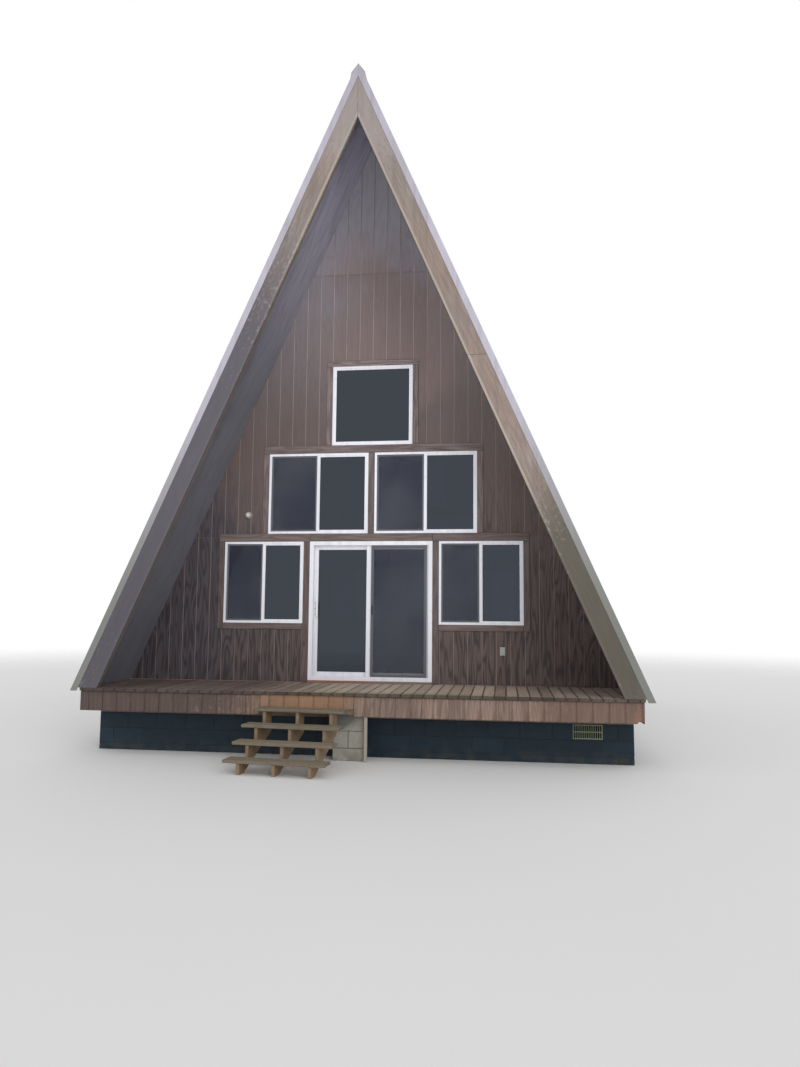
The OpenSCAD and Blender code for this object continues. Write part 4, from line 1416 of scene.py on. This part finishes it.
@dataclass(frozen=True)
class Casing:
    """Inner and outer edges of the casing boards: out from the middle, and up from the deck."""

    post: float = 0.0475
    crown: Span = (0.605, 0.695)
    jamb: Span = (0.911, 1.006)
    middle: Span = (1.5575, 1.6475)
    outer: Span = (2.216, 2.306)
    sill: Span = (0.765, 0.855)
    head: Span = (2.060, 2.180)
    belt: Span = (3.385, 3.505)
    top: Span = (4.710, 4.800)
    foot: float = 0.002
    door_top: float = 2.063
    door_hole: float = 2.070

    def covered(self, has_door: bool) -> list[Box]:
        """Rectangles that the casing covers.

        Args:
            has_door: True for the front.

        Returns:
            Left, foot, right and top of each.
        """
        crown, jamb, middle, outer = self.crown[1], self.jamb, self.middle[1], self.outer[1]
        spots = [(-outer, self.sill[0], -jamb[0], self.head[1]), (jamb[0], self.sill[0], outer, self.head[1]),
                 (-outer, self.head[0], outer, self.head[1]), (-middle, self.head[1], middle, self.belt[1]),
                 (-crown, self.belt[1], crown, self.top[1])]
        return spots + [(-jamb[1], 0.0, jamb[1], self.door_hole)] * has_door

    def boards(self, has_door: bool) -> list[Box]:
        """Places of the casing boards.

        Args:
            has_door: True for the front.

        Returns:
            Left, foot, right and top of each.
        """
        jamb, outer, (low, high) = self.jamb, self.outer[1], self.head
        made = [(-self.middle[1], self.middle[1], *self.belt), (-self.crown[1], self.crown[1], *self.top),
                (-self.post, self.post, high, self.belt[0])]
        for side in (-1, 1):
            for (a, b), z0, z1 in ((self.outer, self.sill[0], low), ((jamb[1], self.outer[0]), *self.sill),
                                   (self.middle, high, self.belt[0]),
                                   (self.crown, self.belt[1], self.top[0])):
                made.append((*sorted((side * a, side * b)), z0, z1))
        if has_door:
            made += [(-jamb[1], -jamb[0], self.foot, low), (*jamb, self.foot, low),
                     (-outer, -jamb[0], low, high), (-jamb[0], jamb[0], self.door_top, high),
                     (jamb[0], outer, low, high)]
        else:
            made += [(-outer, 0.0, low, high), (0.0, outer, low, high),
                     (-jamb[1], -jamb[0], self.sill[0], low), (*jamb, self.sill[0], low)]
        return [(x0, z0, x1, z1) for x0, x1, z0, z1 in made]


@dataclass
class Gable:
    """Grooved siding, casing boards and window details of one gable."""

    plane: Plane
    label: str
    seed: int
    has_door: bool = False
    windows: tuple[Window, ...] = (
        Window(-1.611, 0.855, 1.210), Window(1.611, 0.855, 1.210), Window(-0.8025, 2.180, 1.510),
        Window(0.8025, 2.180, 1.510), Window(0.0, 3.505, 1.210, False))
    casing: Casing = Casing()
    pitch: float = 0.2032
    groove: float = 0.010
    proud: float = 0.005
    casing_thick: float = 0.019
    casing_gap: float = 0.0012
    sheets: tuple[float, ...] = (2.125, 6.150)
    lap: float = 0.002
    under_soffit: float = -0.012
    foot: float = 0.006
    reach: float = 3.7
    shortest: float = 0.004
    strips: int = 6
    tones: int = 12
    nail_step: float = 0.42
    nail_in: float = 0.03
    nail_side: float = 0.3
    nail_sway: float = 0.01
    nail: Span = (0.0042, 0.001)
    gasket: Span = (0.005, 0.0016)
    screen_edge: float = 0.036
    screen_face: float = 0.024
    screen_depth: Span = (-0.014, -0.004)
    mesh_edge: float = 0.02
    mesh_depth: Span = (-0.0105, -0.0095)

    def siding(self) -> None:
        """Cuts the sheets into strips between grooves, round the casing and under the soffit."""
        stock = Stock(self.seed)
        levels = [self.foot, *self.sheets, SLOPE.z_at(0, self.under_soffit)]
        steep, flat = math.tan(SLOPE.angle), SLOPE.rise + self.under_soffit / math.cos(SLOPE.angle)
        count = int(self.reach / self.pitch) + 1
        tones = [[stock.draw.random() for _ in range(self.tones)] for _ in levels]
        covered = self.casing.covered(self.has_door)
        for k in range(-count, count):
            x0, x1 = k * self.pitch + self.groove / 2, (k + 1) * self.pitch - self.groove / 2
            side = 1 if x0 > 0 else -1
            cuts = sorted({x0, x1, *(c for box in covered for c in (box[0], box[2]) if x0 < c < x1)})
            for row, (z0, z1) in enumerate(zip(levels, levels[1:])):
                sheet = (k + 3 * self.strips + 2 * row) // self.strips
                cells = []
                for a, b in zip(cuts, cuts[1:]):
                    spans = [(z0 + self.lap, z1 - self.lap)]
                    for box in covered:
                        if box[0] < (a + b) / 2 < box[2]:
                            parts = [part for low, high in spans
                                     for part in ((low, min(high, box[1])), (max(low, box[3]), high))]
                            spans = [(low, high) for low, high in parts if high - low > self.shortest]
                    cut = [clip(rectangle(a, low, b, high), side * steep, 1.0, flat) for low, high in spans]
                    cells += [cell for cell in cut if len(tidy(cell)) > 2]
                centre = (((sheet - 2.5) * self.strips - 2 * row) * self.pitch, (z0 + z1) / 2)
                half = Vector(((z1 - z0) / 2, self.strips / 2 * self.pitch, 0.01))
                for loop in joined(cells, cuts[1:-1]):
                    stock.plate(self.plane, loop, 0.0, self.proud, middle=centre,
                                tone=tones[row][sheet % self.tones], half=half)
        stock.piece(f"siding_{self.label}", SIDING, "siding_brown")

    def dress_casing(self) -> None:
        """Builds the casing boards and their nails."""
        stock, nails = Stock(self.seed + 1), Stock(self.seed + 2)
        p = self.plane
        for x0, z0, x1, z1 in self.casing.boards(self.has_door):
            wide, high = x1 - x0 - self.casing_gap, z1 - z0 - self.casing_gap
            x, z = (x0 + x1) / 2, (z0 + z1) / 2
            out = self.casing_thick - stock.draw.uniform(0.0, self.casing_gap)
            upright = high > wide
            size = (max(wide, high), min(wide, high), out)
            u, v = (UP, -p.along) if upright else (p.along, UP)
            stock.board(p.at(x, z, out / 2), u, v, size, 0.002, crook=0.0004, parts=3)
            steps = max(2, round(size[0] / self.nail_step))
            for k in range(steps + 1):
                t = self.nail_in + (size[0] - 2 * self.nail_in) * k / steps
                t += nails.draw.uniform(-self.nail_sway, self.nail_sway)
                for shift in (-self.nail_side * size[1], self.nail_side * size[1]):
                    spot = p.at(x + shift, z0 + t, out) if upright else p.at(x0 + t, z + shift, out)
                    nails.head(spot, p.normal, *self.nail, 6)
        stock.piece(f"casing_boards_{self.label}", CASING, "casing_brown", replaces=(f"casing_{self.label}",))
        nails.piece(f"casing_nails_{self.label}", NAIL, "casing_brown")

    def window_details(self) -> None:
        """Adds gaskets round the panes, and the insect screens before the panes set back."""
        gaskets, screens, mesh = (Stock(self.seed + k) for k in (3, 4, 5))
        turn, edge, inner = self.plane.along.x, self.screen_edge, self.mesh_edge
        width, thick = self.gasket
        for window in self.windows:
            for box, out in window.panes(turn):
                gaskets.border(self.plane, box, width, out, out + thick)
            if window.slides:
                left, right = window.ends
                a, b = sorted((turn * (left + edge), turn * (right - edge - window.leaf)))
                z0, z1 = window.foot + edge, window.foot + window.height - edge
                screens.border(self.plane, (a, z0, b, z1), self.screen_face, *self.screen_depth)
                sheet = rectangle(a + inner, z0 + inner, b - inner, z1 - inner)
                mesh.plate(self.plane, sheet, *self.mesh_depth, 0.0)
        gaskets.piece(f"gaskets_{self.label}", GASKET, "white_frame")
        screens.piece(f"window_screens_{self.label}", SCREEN_FRAME, "screen_grey")
        mesh.piece(f"window_mesh_{self.label}", MESH, "screen_mesh")

    def build(self) -> None:
        """Builds and dresses the gable."""
        self.siding()
        self.dress_casing()
        self.window_details()
        carry(WHITE, "white_frame", f"window_frames_{self.label}")
        carry(GLASS, "glass", f"window_glass_{self.label}")


@dataclass
class Rakes:
    """Rake boards and rafters at both ends, mitred at the ridge."""

    width: float = 0.234
    thick: float = 0.038
    joint: float = 4.340
    joint_gap: float = 0.003
    mitre: float = 0.001
    bevel: float = 0.0025
    behind: float = 0.0005

    def board(self, stock: Stock, plane: Plane, side: int, front: float = 0.0, low: float = 0.0,
              high: float | None = None) -> None:
        """Adds a board of the rake.

        Args:
            stock: Where it goes.
            plane: Plane of the rake boards' face.
            side: 1 or -1, along the plane.
            front: Distance of its face from that plane.
            low: Height of its level foot.
            high: Height of its level head, or None for the mitre.
        """
        feet, heads = [], []
        for line in (-self.width, 0.0):
            feet.append((SLOPE.x_at(low, line), low))
            mitred = (self.mitre, SLOPE.z_at(self.mitre, line))
            heads.append(mitred if high is None else (SLOPE.x_at(high, line), high))
        outline = [*feet, *reversed(heads)]
        down = SLOPE.down(side)
        stock.plate(plane, outline if side > 0 else mirrored(outline), front - self.thick, front,
                    self.bevel, fibres=(side * down.x, side * down.z))

    def build(self) -> None:
        """Builds and dresses the rakes."""
        faces, rafters = Stock(51), Stock(52)
        for plane in RAKE_PLANES:
            for side in (-1, 1):
                if side == 1 and plane is RAKE_PLANES[0]:
                    self.board(faces, plane, side, high=self.joint)
                    self.board(faces, plane, side, low=self.joint + self.joint_gap)
                else:
                    self.board(faces, plane, side)
                self.board(rafters, plane, side, -self.thick - self.behind)
        faces.piece("rake_face_boards", RAKE, "rake_wood", replaces=("rake_boards_front", "rake_boards_rear"))
        rafters.piece("rake_backing", RAFTER, "rake_wood", replaces=("rake_rafters",))
        carry(SOFFIT, "soffit_dark", "soffits")


@dataclass
class Roofing:
    """Ribbed sheets with laps and screws, the ridge cap and the rake trims."""

    sheet: float = 0.061
    crown: float = 0.082
    pitch: float = 0.305
    rib: float = 0.056
    row: float = 0.62
    rows: int = 14
    length: float = 9.05
    screw_side: float = 0.045
    trim_step: float = 0.59
    trim_start: float = 0.5
    trim_screws: int = 15
    trim_in: float = 0.06
    trim_joints: tuple[float, ...] = (2.55, 5.60, 8.10)
    trim_lap: Place = (0.080, 0.030, 0.0014)
    trim_thick: float = 0.003
    trim_middle: float = 0.040
    screw_start: float = 0.42
    screw_sway: float = 0.004
    screw_out: float = 0.0012
    screw: Span = (0.007, 0.0055)
    face_screw: Span = (0.005, 0.0025)
    edge_screw: Span = (0.006, 0.003)
    flats: int = 6
    lap_wide: float = 0.022
    lap_thick: float = 0.0016
    lap_short: float = 0.08
    cap_end: tuple[Span, ...] = (
        (0.030, 8.444), (0.030, 8.400), (0.104, 8.2755), (0.1035, 8.290), (0.0915, 8.3605))

    def on(self, side: int, t: float, y: float, out: float) -> Vector:
        """Point on a slope, t down from the ridge line and out from it."""
        return Vector((0.0, y, DECK + SLOPE.rise)) + SLOPE.down(side) * t + SLOPE.outward(side) * out

    def sheets(self) -> None:
        """Adds the laps and screws of the sheets."""
        run = RAKE_REAR - RAKE_FRONT
        count = int((run - self.rib) / self.pitch)
        first = RAKE_FRONT + (run - count * self.pitch) / 2
        screws, laps = Stock(61), Stock(62)
        for side in (-1, 1):
            for k in range(count + 1):
                y = first + k * self.pitch
                if k % 3 == 1:
                    middle = self.on(side, self.length / 2 + self.lap_short,
                                     y + self.rib / 2 + self.lap_wide / 2, self.sheet + self.lap_thick / 2)
                    size = (self.length - 2 * self.lap_short, self.lap_wide, self.lap_thick)
                    laps.board(middle, SLOPE.down(side), FORWARD, size, 0.0005)
                for r in range(self.rows if k < count else 0):
                    for shift in (self.screw_side, self.pitch - self.screw_side):
                        wobble = screws.draw.uniform(-self.screw_sway, self.screw_sway)
                        down = self.screw_start + r * self.row + wobble
                        spot = self.on(side, down, y + shift + wobble, self.sheet + self.screw_out)
                        screws.head(spot, SLOPE.outward(side), *self.screw, self.flats)
        laps.piece("sheet_laps", ROOFING, "roof_metal")
        screws.piece("roof_screws", SCREW, "roof_metal")

    def trims(self) -> None:
        """Adds the laps and screws of the trims, and closes the ends of the ridge cap."""
        laps, screws = Stock(63), Stock(64)
        face = RAKE_FRONT - self.trim_thick
        for side in (-1, 1):
            out = SLOPE.outward(side)
            for t in self.trim_joints:
                middle = self.on(side, t, face - 0.0006, self.trim_middle + 0.003)
                laps.board(middle, out, SLOPE.down(side), self.trim_lap, 0.0004)
            for t in (self.trim_start + k * self.trim_step for k in range(self.trim_screws)):
                screws.head(self.on(side, t, face, self.trim_middle), -FORWARD, *self.face_screw, self.flats)
                for y in (RAKE_FRONT + self.trim_in, RAKE_REAR - self.trim_in):
                    spot = self.on(side, t, y, self.crown + self.trim_thick)
                    screws.head(spot, out, *self.edge_screw, self.flats)
        for plane in RAKE_PLANES:
            for outline in (list(self.cap_end), mirrored(self.cap_end)):
                laps.plate(plane, outline, -0.002, -0.0003, 0.0)
        laps.piece("trim_laps", TRIM, "trim_metal")
        screws.piece("trim_screws", SCREW, "trim_metal")

    def build(self) -> None:
        """Builds and dresses the roofing."""
        self.sheets()
        carry(ROOFING, "roof_metal", "roofing_left", "roofing_right", "ridge_cap")
        carry(TRIM, "trim_metal", "rake_trims")
        carry(ROOF_CORE, "roof_core", "roof_left", "roof_right")
        self.trims()


@dataclass
class PatioDoor:
    """The sliding door with its fixed leaf, its sliding leaf and its insect screen."""

    pull_x: float = 0.031
    pull_z: float = 1.057
    pull_foot: float = 0.045
    stand: Place = (0.014, 0.014, 0.010)
    back_plate: Place = (0.13, 0.022, 0.003)
    grip: Place = (0.112, 0.016, 0.007)
    screw_x: float = -0.838
    screw_rows: tuple[float, ...] = (0.985, 1.07, 1.155)
    pane_low: float = 0.152
    pane_high: float = 1.944
    fixed_sides: Span = (0.008, 0.798)
    leaf_sides: Span = (-0.792, -0.060)
    gasket: float = 0.006
    fixed_depth: Span = (-0.0325, -0.0305)
    leaf_depth: Span = (-0.0775, -0.0755)
    # Size and depth of the dark strips on the inner faces of the jamb and head: painted shade for the shadow
    # in that recess
    shade_strip: Span = (0.032, 0.0016)
    shade_strip_depth: float = -0.040
    plane: Plane = GABLE_FRONT

    def pull(self) -> None:
        """Adds the screen's black pull and the screws beside the leaf's own pull."""
        p, x, z = self.plane, self.pull_x, self.pull_z
        pull, screws = Stock(73), Stock(74)
        for up, out, size, bevel in (
                (-self.pull_foot, 0.009, self.stand, 0.002), (self.pull_foot, 0.009, self.stand, 0.002),
                (0.0, 0.0055, self.back_plate, 0.001), (0.0, 0.0155, self.grip, 0.003)):
            pull.board(p.at(x, z + up, out), UP, p.along, size, bevel)
        pull.piece("screen_pull", HANDLE, "screen_grey", Body.SCREEN)
        for up in self.screw_rows:
            screws.head(p.at(self.screw_x, up, -0.063), p.normal, 0.006, 0.002, 10)
        screws.piece("leaf_screws", GASKET, "white_frame", Body.DOOR)

    def build(self) -> None:
        """Builds and dresses the door."""
        carry(WHITE, "white_frame", "door_frame", "fixed_leaf", "door_leaf")
        carry(GLASS, "glass", "fixed_glass", "door_glass")
        carry(SCREEN_FRAME, "screen_grey", "screen_frame")
        carry(MESH, "screen_mesh", "screen_mesh")
        carry(SILL, "sill_wood", "door_sill")
        p, low, high = self.plane, self.pane_low, self.pane_high
        fixed, moving = Stock(71), Stock(72)
        for stock, (left, right), depth in ((fixed, self.fixed_sides, self.fixed_depth),
                                            (moving, self.leaf_sides, self.leaf_depth)):
            stock.border(p, (left, low, right, high), self.gasket, *depth)
        # Dark strips on the inner faces of the left jamb and of the head: painted shade where the recess
        # falls in shadow
        for x, z, u, long in ((-0.8650, 1.048, UP, 1.92), (-0.4480, 2.017, p.along, 0.83)):
            fixed.board(p.at(x, z, self.shade_strip_depth), u, p.normal, (long, *self.shade_strip), 0.0004)
        fixed.piece("gaskets_and_shade_strips_fixed", GASKET, "white_frame")
        moving.piece("gasket_door", GASKET, "white_frame", Body.DOOR)
        self.pull()


@dataclass
class Fittings:
    """The outlet cover and the porch light on the front wall."""

    outlet: Span = (1.915, 0.485)
    light: Span = (-1.860, 2.460)
    lid_rise: float = 0.026
    lid: Place = (0.040, 0.036, 0.004)
    lid_out: float = 0.0168
    collar: float = 0.0435
    collar_out: float = 0.036
    collar_part: Place = (0.0125, 0.010, 0.004)
    screw_ring: float = 0.046
    screw_turn: float = 0.8
    sides: int = 24

    def build(self) -> None:
        """Builds and dresses the fittings."""
        carry(COVER, "fitting_plastic", "outlet_cover")
        carry(LAMP, "lamp_pale", "porch_light")
        p = GABLE_FRONT
        lids, collar = Stock(81), Stock(82)
        x, z = self.outlet
        for up in (-self.lid_rise, self.lid_rise):
            lids.board(p.at(x, z + up, self.lid_out), p.along, UP, self.lid, 0.0015)
        lids.head(p.at(x, z, 0.016), p.normal, 0.0035, 0.0012)
        lids.piece("outlet_lids", COVER, "fitting_plastic")
        x, z = self.light
        for a in (math.tau * k / self.sides for k in range(self.sides)):
            at = p.at(x + self.collar * math.cos(a), z + self.collar * math.sin(a), self.collar_out)
            tangent = p.along * -math.sin(a) + UP * math.cos(a)
            collar.board(at, tangent, p.normal, self.collar_part, 0.0012, tone=0.5)
        for a in (self.screw_turn, self.screw_turn + math.pi):
            at = p.at(x + self.screw_ring * math.cos(a), z + self.screw_ring * math.sin(a), 0.014)
            collar.head(at, p.normal, 0.004, 0.002)
        collar.piece("light_collar", SCREW, "lamp_pale")


@dataclass
class Stair:
    """Four weathered treads on three stringers."""

    origin: Span = (-0.610, -4.3107)
    skew: float = 5.1
    treads: int = 4
    long: float = 1.240
    short: float = 1.148
    short_shift: float = 0.032
    nail_rows: Span = (0.06, 0.17)
    nail_sway: float = 0.006
    rise: float = 0.167
    run: float = 0.259
    top: float = 0.672
    depth: float = 0.235
    thick: float = 0.038
    stringers: float = 0.435

    def build(self) -> None:
        """Builds and dresses the stair."""
        turn = Matrix.Rotation(-math.radians(self.skew), 3, "Z")
        u, v = turn @ RIGHT, turn @ FORWARD
        base = Vector((*self.origin, 0.0))
        stock, nails = Stock(91), Stock(92)
        for k in range(self.treads):
            wide, shift = (self.short, self.short_shift) if k == 0 else (self.long, 0.0)
            z = self.top - k * self.rise
            middle = base + u * shift + v * (self.depth / 2 - k * self.run) + UP * (z - self.thick / 2)
            stock.board(middle, u, v, (wide, self.depth - 0.003, self.thick - 0.001), 0.005, 0.0012, 8)
            for s in (-self.stringers, 0.0, self.stringers):
                for back in self.nail_rows:
                    sway = nails.draw.uniform(-self.nail_sway, self.nail_sway)
                    spot = base + u * (s + sway) + v * (back - k * self.run)
                    nails.head(spot + UP * (z - 0.001), UP, 0.005, 0.0015)
        stock.piece("tread_planks", TREAD, "stair_wood", replaces=("stair_treads",))
        nails.piece("tread_nails", NAIL, "stair_wood")
        carry(STRINGER, "stringer_wood", "stair_stringers")


@dataclass
class Studio:
    """Floor, light and camera."""

    place: Place = (1.9576, -14.1435, 1.8541)
    yaw: float = 7.507
    pitch: float = 5.778
    roll: float = 0.4867
    focal: float = 800.9
    tall: int = 1067
    sensor: float = 36.0
    radius: float = 90.0
    fade: Span = (14.0, 34.0)
    sky: float = 0.66
    sun_energy: float = 1.0
    fill_energy: float = 2600.0
    fill_place: Place = (1.2, -16.0, 0.9)
    fill_aim: float = 6.0

    def floor(self) -> None:
        """Lays a pale disc that fades out of the camera's sight far from the cabin."""
        mesh = bpy.data.meshes.new("floor")
        work = bmesh.new()
        bmesh.ops.create_circle(work, cap_ends=True, segments=96, radius=self.radius)
        work.to_mesh(mesh)
        work.free()
        made = bpy.data.objects.new("floor", mesh)
        bpy.context.scene.collection.objects.link(made)
        finish = bpy.data.materials.new("floor_pale")
        finish.use_nodes = True
        nodes = finish.node_tree.nodes
        g = Graph(finish.node_tree)
        place = g.fill(g.node("TexCoord"), out="Object")
        colour = g.mix(g.noise(place, 0.4, 3.0), (0.92, 0.92, 0.92), (0.95, 0.95, 0.95))
        pale = g.fill(nodes["Principled BSDF"], colour, Roughness=0.9, **{"Specular IOR Level": 0.1})
        clear = g.fill(g.node("BsdfTransparent"))
        far = g.smooth(g.vector("DISTANCE", place), *self.fade)
        g.feed(nodes["Material Output"].inputs["Surface"], g.fill(g.node("MixShader"), far, pale, clear))
        mesh.materials.append(finish)

    def light(self) -> None:
        """Sets a sky that is white where it is seen or mirrored, a soft low sun and a fill light."""
        world = bpy.data.worlds.new("studio")
        bpy.context.scene.world = world
        world.use_nodes = True
        g = Graph(world.node_tree)
        path = g.node("LightPath")
        rays = [Signal(g, path.outputs[f"Is {kind} Ray"]) for kind in ("Camera", "Glossy", "Transmission")]
        seen = g.math("MAXIMUM", g.math("MAXIMUM", *rays[:2]), rays[2])
        g.fill(world.node_tree.nodes["Background"], (1.0, 1.0, 1.0), seen * (1.0 - self.sky) + self.sky)
        sun = bpy.data.lights.new("soft_sun", "SUN")
        sun.energy, sun.angle = self.sun_energy, math.radians(40)
        fill = bpy.data.lights.new("soft_fill", "SPOT")
        fill.energy, fill.shadow_soft_size = self.fill_energy, 1.2
        fill.spot_size, fill.spot_blend = math.radians(46), 1.0
        aim = Vector((0.0, WALL_FRONT, self.fill_aim)) - Vector(self.fill_place)
        for data, place, turn in (
                (sun, (0.0, 0.0, 12.0), Euler((math.radians(70), 0.0, math.radians(28)))),
                (fill, self.fill_place, aim.to_track_quat("-Z", "Y").to_euler())):
            lamp = bpy.data.objects.new(data.name, data)
            lamp.location, lamp.rotation_euler = place, turn
            lamp.visible_glossy = lamp.visible_transmission = lamp.visible_camera = False
            bpy.context.scene.collection.objects.link(lamp)

    def camera(self) -> None:
        """Places the camera where the view was taken from."""
        yaw, pitch, roll = map(math.radians, (self.yaw, self.pitch, self.roll))
        ahead = Vector((-math.sin(yaw) * math.cos(pitch), math.cos(yaw) * math.cos(pitch), math.sin(pitch)))
        right = Vector((math.cos(yaw), math.sin(yaw), 0.0))
        over = right.cross(ahead)
        side = right * math.cos(roll) + over * math.sin(roll)
        top = over * math.cos(roll) - right * math.sin(roll)
        data = bpy.data.cameras.new("view")
        data.sensor_width, data.lens = self.sensor, self.sensor * self.focal / self.tall
        data.clip_end = 300.0
        made = bpy.data.objects.new("view", data)
        made.matrix_world = Matrix.Translation(self.place) @ Matrix((side, top, -ahead)).transposed().to_4x4()
        bpy.context.scene.collection.objects.link(made)
        bpy.context.scene.camera = made

    def build(self) -> None:
        """Builds the studio."""
        bpy.context.scene.view_settings.view_transform = "Standard"
        self.floor()
        self.light()
        self.camera()


def main() -> None:
    """Builds each sub-assembly in order."""
    logging.basicConfig(level=logging.INFO, format="%(message)s")
    carry(GROOVE, "siding_brown", "front_wall_left", "front_wall_right", "front_wall_upper",
          "rear_wall_lower", "rear_wall_upper")
    gables = Gable(GABLE_FRONT, "front", 41, True), Gable(GABLE_REAR, "rear", 46)
    for part in (Foundation(), Decking(), Skirt(), *gables, Rakes(), Roofing(), PatioDoor(), Fittings(),
                 Stair(), Studio()):
        part.build()
        LOG.info("%s done", type(part).__name__)


if __name__ == "__main__":
    main()
